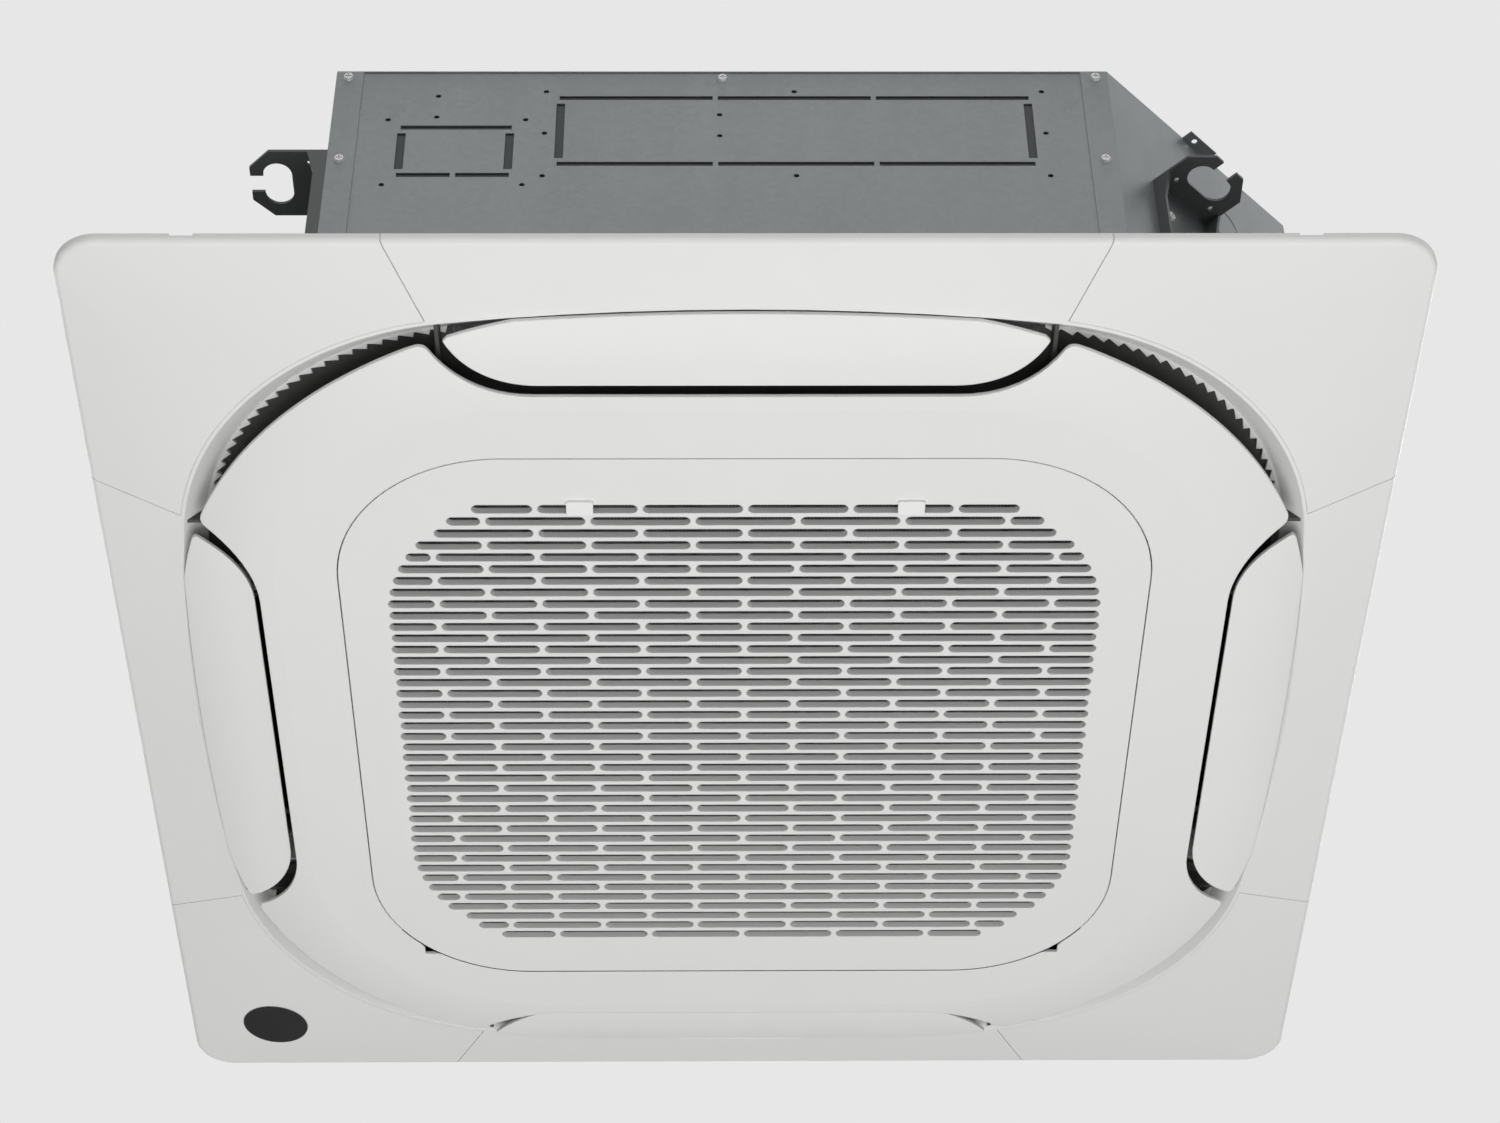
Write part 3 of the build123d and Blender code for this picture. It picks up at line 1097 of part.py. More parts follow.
# ---------------------------------------------------------------- fan
def make_fan():
    disc_low = fan_top - FAN_DISC
    cup = MOTOR_BODY_R + CUP_GAP
    cup_low = motor_bottom - 12.0
    hub = post(0, 0, fan_r, disc_low, fan_top) - post(0, 0, cup + 3, disc_low - 1, fan_top + 1)
    hub += post(0, 0, cup + 3.2, cup_low, fan_top) - post(0, 0, cup, cup_low + 3, fan_top + 1)
    hub += post(0, 0, 14.0, cup_low - 14, cup_low + 4)
    shroud_low = BELL_TOP - INLET_LAP
    inlet = bell_throat + SHROUD + 4.5
    cone_low, cone_high = shroud_low + 14.0, shroud_low + 30.0
    ring = [(inlet, shroud_low), (inlet + SHROUD, shroud_low), (inlet + SHROUD, cone_low), (fan_r, cone_high),
            (fan_r, cone_high + SHROUD), (inlet, cone_low + SHROUD + 1)]
    shroud = revolve(Rot(90, 0, 0) * make_face(Polyline(*ring, close=True)), axis=Axis.Z)
    # blades reach from the disc to the shroud; their free edge slopes inwards between root and inlet
    reach = fan_r - 2.0
    slope_at = cone_low + SHROUD + 1
    root = fan_r * BLADE_ROOT
    blade_zone = [(root, disc_low + 1), (reach, disc_low + 1), (reach, cone_high + SHROUD - 0.1), (inlet + 0.5, slope_at),
                  (root, slope_at + 40)]
    zone = revolve(Rot(90, 0, 0) * make_face(Polyline(*blade_zone, close=True)), axis=Axis.Z)
    for i in range(FAN_BLADES):
        blade = blade_curve()
        blade = slab(blade, slope_at - 8, disc_low + 1) & zone
        hub += Rot(0, 0, 360 / FAN_BLADES * i) * blade
    hub -= shroud
    hub -= post(0, 0, SHAFT_R, cup_low - 20, cup_low + 10)
    NODES["fan_hub"] = hub
    NODES["fan_shroud"] = shroud
    shaft_low = cup_low - 26.0
    NODES["fan_shaft"] = post(0, 0, SHAFT_R, shaft_low, motor_bottom + 50)
    nut = extrude(Pos(0, 0, cup_low - 22.0) * RegularPolygon(9.0, 6), amount=8.0)
    NODES["fan_nut"] = nut - post(0, 0, SHAFT_R, cup_low - 30, cup_low)
    motor = post(0, 0, MOTOR_BODY_R, motor_bottom + 8, liner_top - MOTOR_MOUNT - 4)
    motor += post(0, 0, MOTOR_BODY_R - 12, motor_bottom + 2, motor_bottom + 9)
    motor += post(0, 0, 16.0, motor_bottom, motor_bottom + 3)
    flange_low = liner_top - MOTOR_MOUNT - 4
    motor += post(0, 0, MOTOR_BODY_R + 4, flange_low, flange_low + 4)
    motor -= post(0, 0, SHAFT_R + RUNNING_GAP, motor_bottom - 1, motor_bottom + 52)
    NODES["fan_motor"] = motor
    mounts = [post(*turned(0, -MOTOR_BODY_R + 14, k), 9.0, liner_top - MOTOR_MOUNT, liner_top) for k in range(4)]
    NODES["motor_mounts"] = Compound(children=[m.solid() for m in mounts])


def blade_curve():
    """Plan of one backward-curved blade: a band of even thickness along an arc."""
    start, end = fan_r * BLADE_ROOT - 6, fan_r + 4
    lean = radians(38)
    p0 = (start, 0.0)
    p1 = (end * cos(lean), -end * sin(lean))
    mid = ((p0[0] + p1[0]) / 2 + 14, (p0[1] + p1[1]) / 2 + 16)

    def off(p, d):
        return (p[0] + d * 0.62, p[1] + d * 0.78)
    t = BLADE_THICK / 2
    lower = [off(p0, -t), off(mid, -t), off(p1, -t)]
    upper = [off(p0, t), off(mid, t), off(p1, t)]
    return make_face([
        ThreePointArc(*lower), Line(lower[2], upper[2]), ThreePointArc(*reversed(upper)), Line(upper[0], lower[0]),
    ])


# ---------------------------------------------------------------- coil
def make_coil():
    ring = rounded(coil_outer, COIL_OUTER_RADIUS) - rounded(coil_inner, coil_inner_radius)
    low, high = TROUGH_FLOOR, liner_bottom
    opening = block((-half_body, -half_body, low - 1), (coil_front_end, coil_left_end, high + 1))
    fins = slab(ring, low, high) - opening
    NODES["coil_fins"] = fins
    left = block((-coil_outer, coil_left_end - END_PLATE, low), (-coil_inner, coil_left_end, high))
    front = block((coil_front_end - END_PLATE, -coil_outer, low), (coil_front_end, -coil_inner, high))
    NODES["coil_end_plates"] = Compound(children=[left.solid(), front.solid()])
    # one return bend for each pair of tubes, standing out of both end plates
    pitch = (high - low) / COIL_ROWS
    bend_r = COIL_DEPTH / 4
    middle = (coil_outer + coil_inner) / 2
    bend = Rot(0, 0, 0) * Torus(bend_r, COIL_TUBE_R)
    bend = bend & Pos(0, -bend_r, 0) * Box(4 * bend_r, 2 * bend_r, 4 * COIL_TUBE_R)
    bends = []
    for row in range(COIL_ROWS):
        z = low + (row + 0.5) * pitch
        bends.append(Pos(-middle, coil_left_end - END_PLATE, z) * bend)
        bends.append(Pos(coil_front_end - END_PLATE, -middle, z) * Rot(0, 0, -90) * bend)
    NODES["coil_tubes"] = Compound(children=[b.solid() for b in bends])


# ---------------------------------------------------------------- pipes, pump and float in the piping corner
def piping_wall(along, inwards, height):
    """A point by the piping corner's slanted wall: along it towards the left side, and in from its face."""
    mid = ((notch_x - half_body) / 2, (notch_turn_y + notch_end_y) / 2)
    r = 1 / sqrt(2)
    return (mid[0] - along * r + inwards * r, mid[1] + along * r + inwards * r, height)


def wall_rod(along, inner, outer, height, radius):
    """A cylinder square to that wall, from inside the casing to outside it."""
    middle = piping_wall(along, (inner - outer) / 2, height)
    return Pos(*middle) * Rot(0, 0, 45) * Rot(0, 90, 0) * Cylinder(radius, inner + outer)


def make_pipes():
    holes = []
    corner_x = (notch_x - half_body) / 2
    gas_depth = sqrt(2) * (HEADER_IN - coil_outer - corner_x) + 18.0
    drain_z, cable_z = level(205.0), level(72.0)
    specs = {
        "gas_pipe": (18.0, level(150.0), GAS_PIPE_R, 1.0, gas_depth, liner_bottom - 14),
        "liquid_pipe": (-30.0, level(110.0), LIQUID_PIPE_R, 0.8, 50.0, drain_z - 33.0),
    }
    nuts = []
    for name, (along, height, radius, wall, depth, header_top) in specs.items():
        # the stub swells beyond a bead to the size that the outside pipe is fitted over
        neck = radius - 0.3
        pipe = wall_rod(along, depth, PIPE_BEAD, height, neck)
        pipe += wall_rod(along, -PIPE_BEAD + 3.0, PIPE_BEAD, height, radius + 1.8)
        pipe += wall_rod(along, -PIPE_BEAD, PIPE_OUT, height, radius)
        x, y, _ = piping_wall(along, depth, height)
        pipe += post(x, y, neck, TROUGH_FLOOR + 12, header_top)
        pipe -= wall_rod(along, depth - 4, PIPE_OUT + 1, height, radius - wall - 0.3)
        NODES[name] = pipe
        holes.append(wall_rod(along, 20, 10, height, radius + 2.5))
        middle = piping_wall(along, -15.0, height)
        nut = Pos(*middle) * Rot(0, 0, 45) * Rot(0, 90, 0) * (
            extrude(Pos(0, 0, -9) * RegularPolygon(radius * 1.7, 6), amount=18) - Cylinder(neck, 20))
        nuts.append(nut)
    NODES["flare_nuts"] = Compound(children=[n.solid() for n in nuts])
    # the gas header meets the coil through short feeders
    x, y, _ = piping_wall(18.0, gas_depth, 0)
    coil_height = liner_bottom - TROUGH_FLOOR
    for i in range(4):
        z = TROUGH_FLOOR + coil_height * (0.125 + i * 50.0 / 204.0)
        NODES["gas_pipe"] += rod_y(x, y, coil_left_end - END_PLATE, z, 3.0)
    outlet = wall_rod(-5.0, 12, 3.5, drain_z, DRAIN_PIPE_R - 0.5) + wall_rod(-5.0, -3.0, PIPE_OUT, drain_z, DRAIN_PIPE_R)
    outlet += wall_rod(-5.0, 0, 3.0, drain_z, DRAIN_PIPE_R + 8)
    outlet -= wall_rod(-5.0, 30, PIPE_OUT + 1, drain_z, DRAIN_BORE_R)
    NODES["drain_outlet"] = outlet
    holes.append(wall_rod(-5.0, 20, 10, drain_z, DRAIN_PIPE_R + 0.5))
    grommet = wall_rod(-30.0, 2.2, 3.0, cable_z, 12.0) - wall_rod(-30.0, 5, 5, cable_z, 8.0)
    groove = wall_rod(-30.0, SHEET, 0, cable_z, 14.0) - wall_rod(-30.0, SHEET, 0, cable_z, 10.0)
    NODES["cable_grommet"] = grommet - groove
    holes.append(wall_rod(-30.0, 20, 10, cable_z, 10.2))
    for hole in holes:
        NODES["piping_corner_panel"] -= hole
        NODES["foam_liner"] -= hole
    NODES["foam_liner"] -= wall_rod(-30.0, 20, 10, cable_z, 12.5)


def make_pump():
    x, y = pump_at
    floor = TROUGH_FLOOR
    chamber = 18.0
    pump = post(x, y, PUMP_R, 70, 112) + post(x, y, 20.0, 111, 146) + post(x, y, chamber, 44, 71)
    for angle in (70, 190, 310):
        lx, ly = x + (PUMP_R - 4) * cos(radians(angle)), y + (PUMP_R - 4) * sin(radians(angle))
        pump += post(lx, ly, 3.2, floor, 72)
    pump -= post(x, y, 14.5, 50, 66)
    pump -= post(x, y, 6.0, 43, 51)
    pump -= post(x, y, 2.0 + RUNNING_GAP, 65, 108)
    nozzle = (x - 4.0, y + 33.0)
    pump += rod_y(x - 4.0, y + 12, y + 33, 58, 5.0) - post(x, y, 14.5, 50, 66)
    pump += post(*nozzle, 5.6, 52.4, 90)
    NODES["drain_pump"] = pump
    impeller = post(x, y, 12.5, 61, 63.5) + post(x, y, 2.0, 55, 106)
    for angle in (0, 90):
        impeller += Pos(x, y, 57.5) * Rot(0, 0, angle) * Box(22, 1.6, 8)
    NODES["pump_impeller"] = impeller
    start = (*nozzle, 90.0)
    drain_z = level(205.0)
    end = piping_wall(-5.0, 12.0, drain_z)
    inner = piping_wall(-5.0, 52.0, drain_z)
    path = FilletPolyline(start, (*nozzle, drain_z), inner, end, radius=[24.0, 24.0])
    hose = sweep(Plane(origin=start, z_dir=(0, 0, 1)) * Circle(6.5), path=path)
    NODES["drain_hose"] = hose
    fx, fy = float_at
    switch = post(fx, fy, 9.0, floor, floor + 6) + post(fx, fy, 3.0, floor, 102) + post(fx, fy, 11.0, 92, 108)
    NODES["float_switch"] = switch
    low = floor + 6.2
    NODES["switch_float"] = post(fx, fy, 11.0, low, low + 16) - post(fx, fy, 3.0 + 0.3, low - 1, low + 17)


make_panel()
make_inner_frame()
make_centre_plate()
make_grille()
make_latches()
make_filter()
make_louvres()
make_receiver()
make_casing()
make_panel_fixings()
make_pan()
make_bell_mouth()
make_electrics()
make_fan()
make_coil()
make_pipes()
make_pump()

os.makedirs("parts", exist_ok=True)
for name, shape in NODES.items():
    placed = Pos(0, 0, -HANG_HEIGHT) * shape
    solids = placed.solids()
    result = solids[0] if len(solids) == 1 else Compound(children=list(solids))
    export_step(result, f"parts/{name}.step")
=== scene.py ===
# %% [markdown]
# # A ceiling cassette air conditioner, seen from below
#
# The hard parts come from the imported model: every sheet, screw and louvre already has its true size and place.
# What is left for Blender is the look: the moulded white panel, the galvanised casing, and the light. The first
# cell loads the model.

# %% Load the imported model
import json

import bpy
import numpy as np
from mathutils import Matrix, Vector

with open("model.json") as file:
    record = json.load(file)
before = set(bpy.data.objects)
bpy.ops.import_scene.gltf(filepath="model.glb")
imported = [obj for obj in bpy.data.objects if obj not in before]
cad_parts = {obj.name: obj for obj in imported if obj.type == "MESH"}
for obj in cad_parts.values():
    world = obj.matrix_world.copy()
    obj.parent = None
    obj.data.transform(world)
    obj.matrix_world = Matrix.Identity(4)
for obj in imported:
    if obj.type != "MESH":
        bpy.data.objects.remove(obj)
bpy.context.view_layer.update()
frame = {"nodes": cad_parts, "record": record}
nodes = frame["nodes"]
scene = bpy.context.scene
scene.view_settings.view_transform = "Standard"

# %% [markdown]
# ## The camera
#
# The picture was taken from below and in front, with a long lens, looking up at 44 degrees. A perspective camera
# is a place, a direction and a focal length. These were solved from the corners of the panel and of the casing,
# whose real sizes are known. The direction is built from a turn to the side, a tilt up and a slight roll.

# %% Camera
FOCAL_PIXELS = 3371.7
IMAGE_WIDTH = 1500
SENSOR = 36.0
CAMERA_REACH = 50
camera_place = Vector((-0.0254, -1.9723, -1.9089))
yaw, pitch, roll = 0.016293, 0.767038, -0.012808
forward = Vector((np.sin(yaw) * np.cos(pitch), np.cos(yaw) * np.cos(pitch), np.sin(pitch)))
level_right = Vector((np.cos(yaw), -np.sin(yaw), 0))
level_up = level_right.cross(forward)
right = level_right * np.cos(roll) + level_up * np.sin(roll)
up = level_up * np.cos(roll) - level_right * np.sin(roll)
camera_data = bpy.data.cameras.new("camera")
camera_data.sensor_width = SENSOR
camera_data.lens = FOCAL_PIXELS / IMAGE_WIDTH * SENSOR
camera_data.clip_end = CAMERA_REACH
camera = bpy.data.objects.new("camera", camera_data)
turn = Matrix((right, up, -forward)).transposed().to_4x4()
camera.matrix_world = Matrix.Translation(camera_place) @ turn
scene.collection.objects.link(camera)
scene.camera = camera
print("lens", round(camera_data.lens, 2), "mm")

# %% [markdown]
# ## Shader maths as Python
#
# A material is a graph of nodes. Writing `1 - mask` is easier to read than a Subtract node with two links, so a
# small class wraps a socket and its operators add the Math nodes. Every other node comes from one method, `add`,
# which takes the node's type, its settings, and the values or links of its sockets.


# %% The socket class and the material helper
class Wire:
    """An output socket that Python's operators can do sums with."""

    def __init__(self, tree, socket):
        self.tree, self.socket = tree, socket

    def math(self, operation, *others):
        return add(self.tree, "ShaderNodeMath", {"operation": operation}, dict(enumerate((self, *others))))

    def __add__(self, other):
        return self.math("ADD", other)

    __radd__ = __add__

    def __mul__(self, other):
        return self.math("MULTIPLY", other)

    __rmul__ = __mul__

    def __sub__(self, other):
        return self.math("SUBTRACT", other)

    def __rsub__(self, other):
        return add(self.tree, "ShaderNodeMath", {"operation": "SUBTRACT"}, {0: other, 1: self})

    def part(self, name):
        """Another output of the same node."""
        return Wire(self.tree, self.socket.node.outputs[name])


def add(tree, kind, settings=None, inputs=None):
    """A node of any type, as its first output. Settings come first, then sockets by name or number.

    The one setting that isn't an attribute is "stops": the two places and colours of a colour ramp.
    """
    node = tree.nodes.new(kind)
    for name, value in (settings or {}).items():
        if name == "stops":
            for element, (place, colour) in zip(node.color_ramp.elements, value):
                element.position, element.color = place, colour
        else:
            setattr(node, name, value)
    for key, value in (inputs or {}).items():
        socket = node.inputs[key]
        if isinstance(value, Wire):
            tree.links.new(value.socket, socket)
        else:
            socket.default_value = value
    return Wire(tree, next(s for s in node.outputs if s.enabled))


def material(name, paint, **constant):
    """A material with constant sockets from the keywords and varied ones from what paint(tree, place) returns."""
    finish = bpy.data.materials.new(name)
    finish.use_nodes = True
    tree = finish.node_tree
    surface = tree.nodes["Principled BSDF"]
    for socket, value in constant.items():
        surface.inputs[socket.replace("_", " ")].default_value = value
    place = add(tree, "ShaderNodeTexCoord").part("Object")
    for socket, value in paint(tree, place).items():
        tree.links.new(value.socket, surface.inputs[socket.replace("_", " ")])
    return finish


def noise(tree, place, scale, detail=3.0, rough=0.5):
    return add(tree, "ShaderNodeTexNoise", {}, {"Vector": place, "Scale": scale, "Detail": detail, "Roughness": rough})


def between(tree, mask, low, high):
    """A colour that goes from low to high as the mask goes from 0 to 1."""
    stops = [(0.0, (*low, 1)), (1.0, (*high, 1))]
    return add(tree, "ShaderNodeValToRGB", {"stops": stops}, {0: mask})


def spread(tree, value, low, high, to_low, to_high):
    """A number moved from one range to another, held inside it."""
    return add(tree, "ShaderNodeMapRange", {"clamp": True},
               {"Value": value, "From Min": low, "From Max": high, "To Min": to_low, "To Max": to_high})


def bump(tree, height, distance, strength=1.0, normal=None):
    inputs = {"Height": height, "Distance": distance, "Strength": strength}
    if normal is not None:
        inputs["Normal"] = normal
    return add(tree, "ShaderNodeBump", {}, inputs)


def soft_edge(tree, radius):
    """A normal that rounds the corners a little, as any moulding or bent sheet has them."""
    return add(tree, "ShaderNodeBevel", {"samples": 6}, {"Radius": radius})


print("shader helpers ready")

# %% [markdown]
# ## White moulded plastic
#
# The panel is injection moulded in a white, faintly grained plastic with a satin gloss. Real mouldings are never
# quite even: the colour drifts by a percent over a hand's width and the grain breaks up the reflections. Two
# noises do that, one broad for the drift and one fine for the grain.


# %% White plastic
def moulded(colour, grain=1800.0, edge=0.0012, drift=0.018, gloss=(0.42, 0.52)):
    def paint(tree, place):
        broad = noise(tree, place, 4.0, 2.0)
        fine = noise(tree, place, grain, 2.0)
        low = tuple(c * (1 - drift) for c in colour)
        high = tuple(min(1.0, c * (1 + drift)) for c in colour)
        return {
            "Base_Color": between(tree, broad, low, high),
            "Roughness": spread(tree, noise(tree, place, 30.0), 0.3, 0.7, *gloss),
            "Normal": bump(tree, fine, 0.00004, 0.5, soft_edge(tree, edge)),
        }
    return paint


panel_white = material("panel white", moulded((0.80, 0.80, 0.79)), Specular_IOR_Level=0.45)
louvre_white = material("louvre white", moulded((0.81, 0.81, 0.80)), Specular_IOR_Level=0.45)
latch_white = material("latch white", moulded((0.88, 0.88, 0.87), gloss=(0.3, 0.38)), Specular_IOR_Level=0.5)

# %% [markdown]
# ## Galvanised sheet
#
# Zinc freezes into flat crystals, the spangle, and each reflects a little more or less. On this sheet they are small
# and faint, so they only tint the tone: Voronoi cells stand for crystals that grow from seeds. What the eye sees
# first is a soft vertical mottling from the rolling and the passivation bath, a noise squeezed across and drawn out
# upwards. Half the metal look comes from a roughness that follows the same tone. Towards the top the colour is
# darkened as painted shade, standing in for the light that falls off there.


# %% Galvanised steel
PAINTED_SHADE_FROM, PAINTED_SHADE_TO = 0.03, 0.1      # heights between which painted shade darkens the sheet towards the top
PAINTED_SHADE_DEPTH = 0.16
CRYSTALS, MOTTLING, DRIFT = 0.2, 0.45, 0.35     # shares in the tone


def galvanised(colour, spangle=260.0, contrast=0.07, streak=(34.0, 34.0, 7.0)):
    def paint(tree, place):
        stretched = add(tree, "ShaderNodeVectorMath", {"operation": "MULTIPLY"}, {0: place, 1: streak})
        cells = add(tree, "ShaderNodeTexVoronoi", {"feature": "F1"},
                    {"Vector": place, "Scale": spangle, "Randomness": 1.0})
        crystal = add(tree, "ShaderNodeSeparateColor", {}, {0: cells.part("Color")})
        height = add(tree, "ShaderNodeSeparateXYZ", {}, {0: place}).part("Z")
        mottling = noise(tree, stretched, 1.0, 4.0, 0.6)
        tone = crystal * CRYSTALS + mottling * MOTTLING + noise(tree, place, 5.0, 2.0) * DRIFT
        # painted shade: the tone, which sets the colour, is lowered towards the top of the sheet
        tone = tone - spread(tree, height, PAINTED_SHADE_FROM, PAINTED_SHADE_TO, 0, PAINTED_SHADE_DEPTH)
        low = tuple(c * (1 - contrast) for c in colour)
        high = tuple(c * (1 + contrast) for c in colour)
        return {
            "Base_Color": between(tree, spread(tree, tone, 0.35, 0.65, 0, 1), low, high),
            "Roughness": spread(tree, tone, 0.3, 0.7, 0.46, 0.6),
            "Normal": bump(tree, noise(tree, stretched, 22.0, 2.0), 0.00002, 0.35, soft_edge(tree, 0.0006)),
        }
    return paint


casing_steel = material("galvanised sheet", galvanised((0.212, 0.226, 0.228), contrast=0.085), Metallic=0.55)
zinc_screw = material("zinc screw", galvanised((0.5, 0.5, 0.5), 900.0, 0.05, (300.0, 300.0, 300.0)), Metallic=0.9)

# %% [markdown]
# ## Black paint, rubber, foam and the rest
#
# The smaller finishes share one recipe: a base colour that drifts, a roughness that drifts, and a fine bump whose
# scale suits the stuff. Foam gets coarse cells, paint gets orange peel, rubber a fine grain.


# %% Small finishes
def plain(colour, rough, grain, depth, drift=0.12, edge=0.0005, foam=False):
    def paint(tree, place):
        if foam:
            pattern = add(tree, "ShaderNodeTexVoronoi", {"feature": "F1"}, {"Vector": place, "Scale": grain})
        else:
            pattern = noise(tree, place, grain, 3.0)
        broad = noise(tree, place, 12.0, 3.0)
        low = tuple(c * (1 - drift) for c in colour)
        high = tuple(min(1.0, c * (1 + drift)) for c in colour)
        return {
            "Base_Color": between(tree, broad, low, high),
            "Roughness": spread(tree, broad, 0.3, 0.7, *rough),
            "Normal": bump(tree, pattern, depth, 0.6, soft_edge(tree, edge)),
        }
    return paint


bracket_black = material("black paint", plain((0.058, 0.061, 0.063), (0.4, 0.55), 900.0, 0.00003, 0.25))
frame_black = material("dark frame", plain((0.066, 0.064, 0.062), (0.6, 0.75), 1400.0, 0.00004, 0.15, 0.0008))
rubber_black = material("rubber", plain((0.02, 0.02, 0.02), (0.7, 0.85), 1500.0, 0.00003))
foam_white = material("white foam", plain((0.72, 0.73, 0.74), (0.85, 0.95), 260.0, 0.0004, 0.04, 0.002, True))
foam_grey = material("grey foam", plain((0.09, 0.095, 0.1), (0.9, 0.97), 700.0, 0.0003, 0.1, 0.001, True))
seal_foam = material("seal foam", plain((0.03, 0.03, 0.03), (0.9, 0.97), 900.0, 0.0002, 0.15, 0.0008, True))
bell_plastic = material("bell mouth plastic", plain((0.05, 0.05, 0.055), (0.5, 0.6), 900.0, 0.00004))
fan_plastic = material("fan plastic", plain((0.035, 0.037, 0.04), (0.38, 0.48), 1100.0, 0.00003, 0.1))
motor_paint = material("motor paint", plain((0.16, 0.165, 0.17), (0.4, 0.5), 500.0, 0.00004), Metallic=0.3)
fin_aluminium = material("aluminium fins", plain((0.6, 0.61, 0.62), (0.35, 0.45), 900.0, 0.00003, 0.05), Metallic=0.9)
copper = material("copper", plain((0.62, 0.3, 0.17), (0.25, 0.4), 400.0, 0.00003, 0.18), Metallic=1.0)
brass = material("brass", plain((0.66, 0.48, 0.2), (0.25, 0.35), 700.0, 0.00003, 0.1), Metallic=1.0)
pump_plastic = material("ivory plastic", plain((0.62, 0.6, 0.53), (0.4, 0.5), 1200.0, 0.00003, 0.05))
hose_vinyl = material("hose vinyl", plain((0.22, 0.23, 0.24), (0.45, 0.55), 500.0, 0.00005, 0.08))
board_green = material("circuit board", plain((0.02, 0.13, 0.05), (0.3, 0.45), 800.0, 0.00004, 0.2))
lens_black = material("receiver lens", plain((0.012, 0.012, 0.014), (0.12, 0.2), 300.0, 0.00001, 0.2), Coat_Weight=0.6)

# %% [markdown]
# ## The filter's net
#
# The filter is a fine net on a frame of bars. Modelled thread by thread it would take millions of faces, and from a
# metre away it only shows as a weave. Two sines, one along X and one along Y, are high once every pitch. Where
# either one is high there is a thread, lighter and raised; between the threads the net is dark.

# %% Filter net
PITCH = 0.0026              # thread to thread


def net(thread, hole):
    def paint(tree, place):
        along = add(tree, "ShaderNodeSeparateXYZ", {}, {0: place})
        waves = [(along.part(axis) * (2 * np.pi / PITCH)).math("SINE") for axis in "XY"]
        height = spread(tree, waves[0].math("MAXIMUM", waves[1]), 0.35, 0.85, 0, 1)
        dust = noise(tree, place, 14.0, 3.0)
        return {
            "Base_Color": between(tree, height * (0.7 + dust * 0.5), hole, thread),
            "Roughness": spread(tree, dust, 0.3, 0.7, 0.55, 0.75),
            "Normal": bump(tree, height, 0.0003, 0.7, soft_edge(tree, 0.0006)),
        }
    return paint


filter_mesh = material("filter net", net((0.085, 0.088, 0.094), (0.012, 0.012, 0.013)))
print("net pitch", PITCH * 1000, "mm")

# %% [markdown]
# ## Every node gets its finish
#
# The record names a material slot for each node, so one table from slot to finish covers all sixty. The four
# louvres share the panel's slot but were moulded in another batch, a shade lighter.

# %% Finishes on the nodes
finishes = {
    "panel_white": panel_white, "latch_white": latch_white, "frame_black": frame_black,
    "galvanised_sheet": casing_steel,
    "bracket_black": bracket_black, "screw_steel": zinc_screw, "foam_grey": foam_grey, "foam_white": foam_white,
    "seal_foam": seal_foam, "bell_plastic": bell_plastic, "fan_plastic": fan_plastic, "motor_paint": motor_paint,
    "rubber_black": rubber_black, "fin_aluminium": fin_aluminium, "copper": copper, "nut_brass": brass,
    "pump_plastic": pump_plastic, "hose_vinyl": hose_vinyl, "board_green": board_green, "lens_black": lens_black,
    "filter_mesh": filter_mesh,
}
LOUVRES = ["louvre_front", "louvre_right", "louvre_rear", "louvre_left"]
for part in frame["record"]["subparts"]:
    thing = nodes[part["node"]]
    finish = louvre_white if part["node"] in LOUVRES else finishes[part["material_slot"]]
    thing.data.materials.clear()
    thing.data.materials.append(finish)

# %% [markdown]
# ## Room and light
#
# The unit hangs over a pale floor that the camera, looking up, doesn't see. Behind it the world is a flat pale grey
# for the camera. The light is plain and soft: an even world, and a large lamp below that makes the near half of the
# panel brighter than the far half. A lamp high in front reaches the casing, and the weak ones at the sides make the
# right a touch brighter than the left. Each of these was rendered alone, and their powers started from the sum that
# comes nearest to the brightness seen at eighteen places on the panel. Three more lamps, behind and above, only
# serve views from those sides. A last one, high on the right, is what the 45 degree corner of the casing mirrors
# towards the camera.

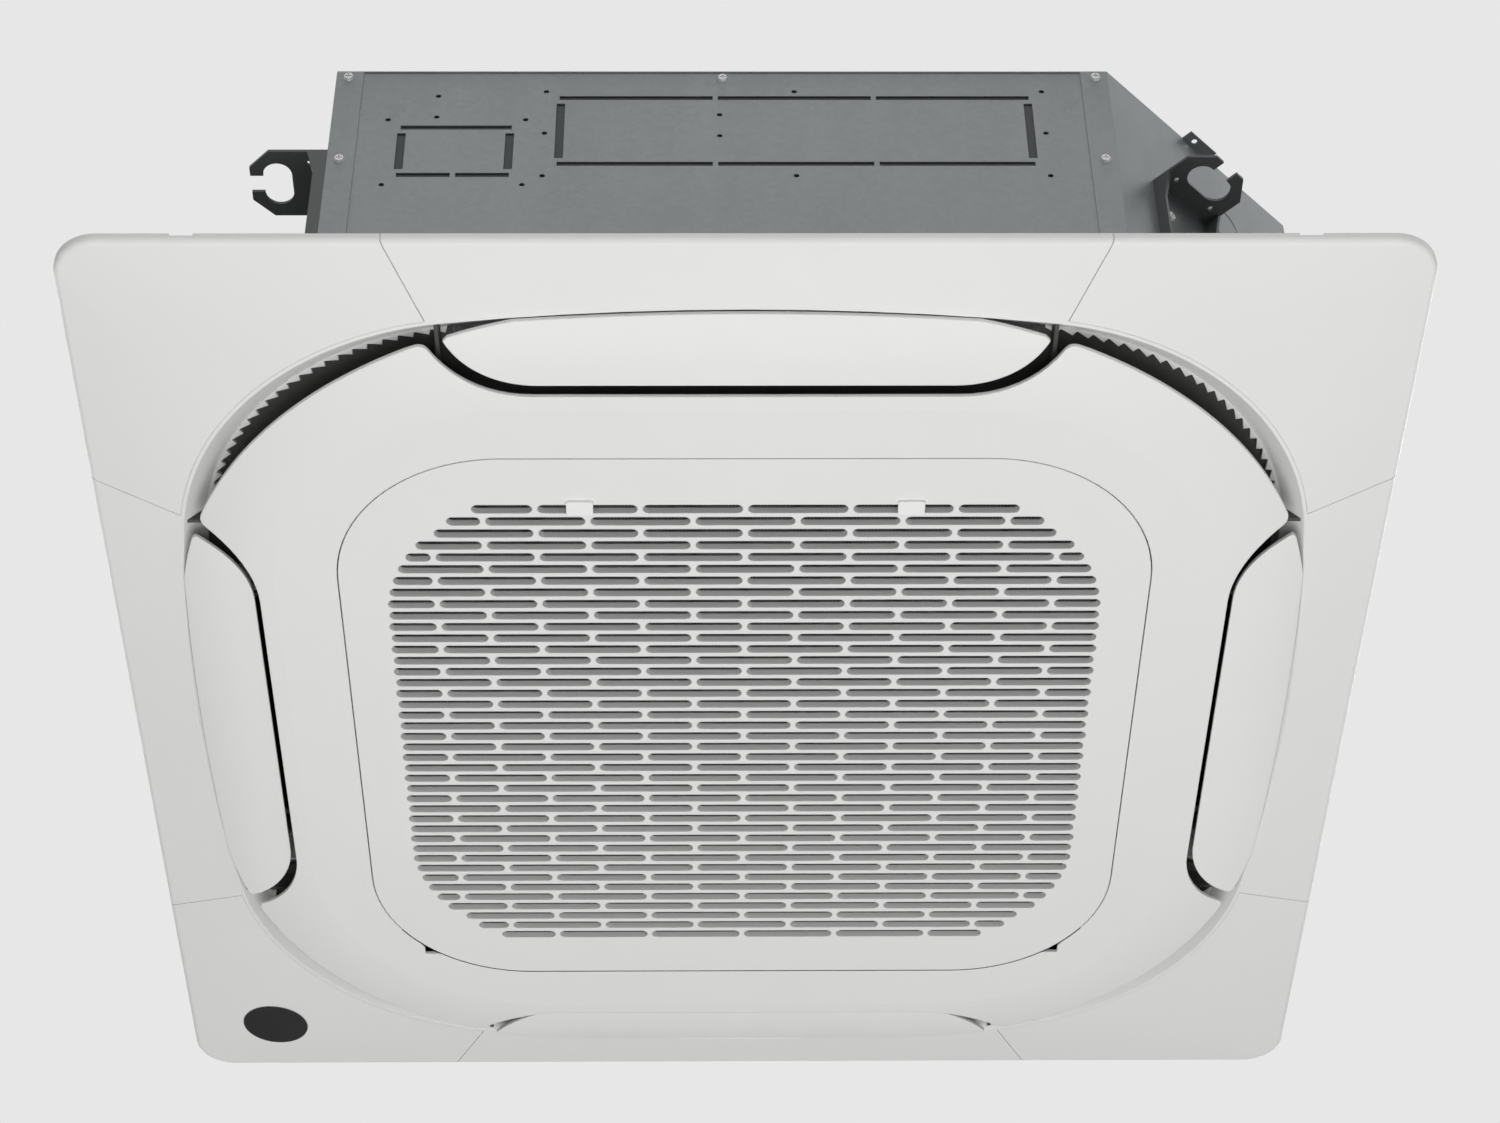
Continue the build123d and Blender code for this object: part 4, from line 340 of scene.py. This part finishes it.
# %% Floor, world and lamps
FLOOR_Z = -6.0
FLOOR_HALF = 16.0
floor_mesh = bpy.data.meshes.new("floor")
floor_corners = [(x * FLOOR_HALF, y * FLOOR_HALF, FLOOR_Z) for x, y in ((-1, -1), (1, -1), (1, 1), (-1, 1))]
floor_mesh.from_pydata(floor_corners, [], [(0, 1, 2, 3)])
floor = bpy.data.objects.new("floor", floor_mesh)
scene.collection.objects.link(floor)
floor.data.materials.append(material("pale floor", plain((0.74, 0.74, 0.74), (0.8, 0.9), 40.0, 0.0001, 0.01)))

BACKDROP = 0.80             # what the camera and the reflections see behind the unit
AMBIENT = 0.15              # what lights it
world = bpy.data.worlds.new("studio")
scene.world = world
world.use_nodes = True
sky = world.node_tree
background = sky.nodes["Background"]
rays = add(sky, "ShaderNodeLightPath")
seen = rays.part("Is Camera Ray")
for kind in ("Is Glossy Ray", "Is Transmission Ray"):
    seen = seen.math("MAXIMUM", rays.part(kind))
shown = add(sky, "ShaderNodeMix", {"data_type": "RGBA"},
            {0: seen, 6: (AMBIENT, AMBIENT, AMBIENT, 1), 7: (BACKDROP, BACKDROP, BACKDROP, 1)})
sky.links.new(shown.socket, background.inputs["Color"])
background.inputs["Strength"].default_value = 1.0


def lamp(name, place, target, size, power):
    """A square lamp at a place, aimed at a target."""
    data = bpy.data.lights.new(name, "AREA")
    data.energy, data.size = power, size
    thing = bpy.data.objects.new(name, data)
    direction = Vector(target) - Vector(place)
    thing.matrix_world = Matrix.Translation(Vector(place)) @ direction.to_track_quat("-Z", "Y").to_matrix().to_4x4()
    scene.collection.objects.link(thing)
    return thing


LAMP_TARGET = (0, 0, -0.1)
LAMPS = {  # place, size, power
    "below": ((0.0, -0.6, -2.6), 2.4, 51),
    "left": ((-2.8, -0.8, -1.6), 1.6, 3),
    "right": ((2.8, -0.8, -1.6), 1.6, 12),
    "front high": ((0.0, -3.4, 0.8), 1.6, 36),
    "rear left": ((-3.2, 3.2, 2.4), 1.6, 55),
    "rear right": ((3.2, 3.2, 2.4), 1.6, 80),
    "above": ((0.0, 0.0, 4.0), 2.0, 80),
    "right high": ((3.6, 0.2, 3.0), 1.6, 12),
}
for name, (place, size, power) in LAMPS.items():
    lamp(name, place, LAMP_TARGET, size, power)
print("backdrop", BACKDROP, "ambient", AMBIENT)
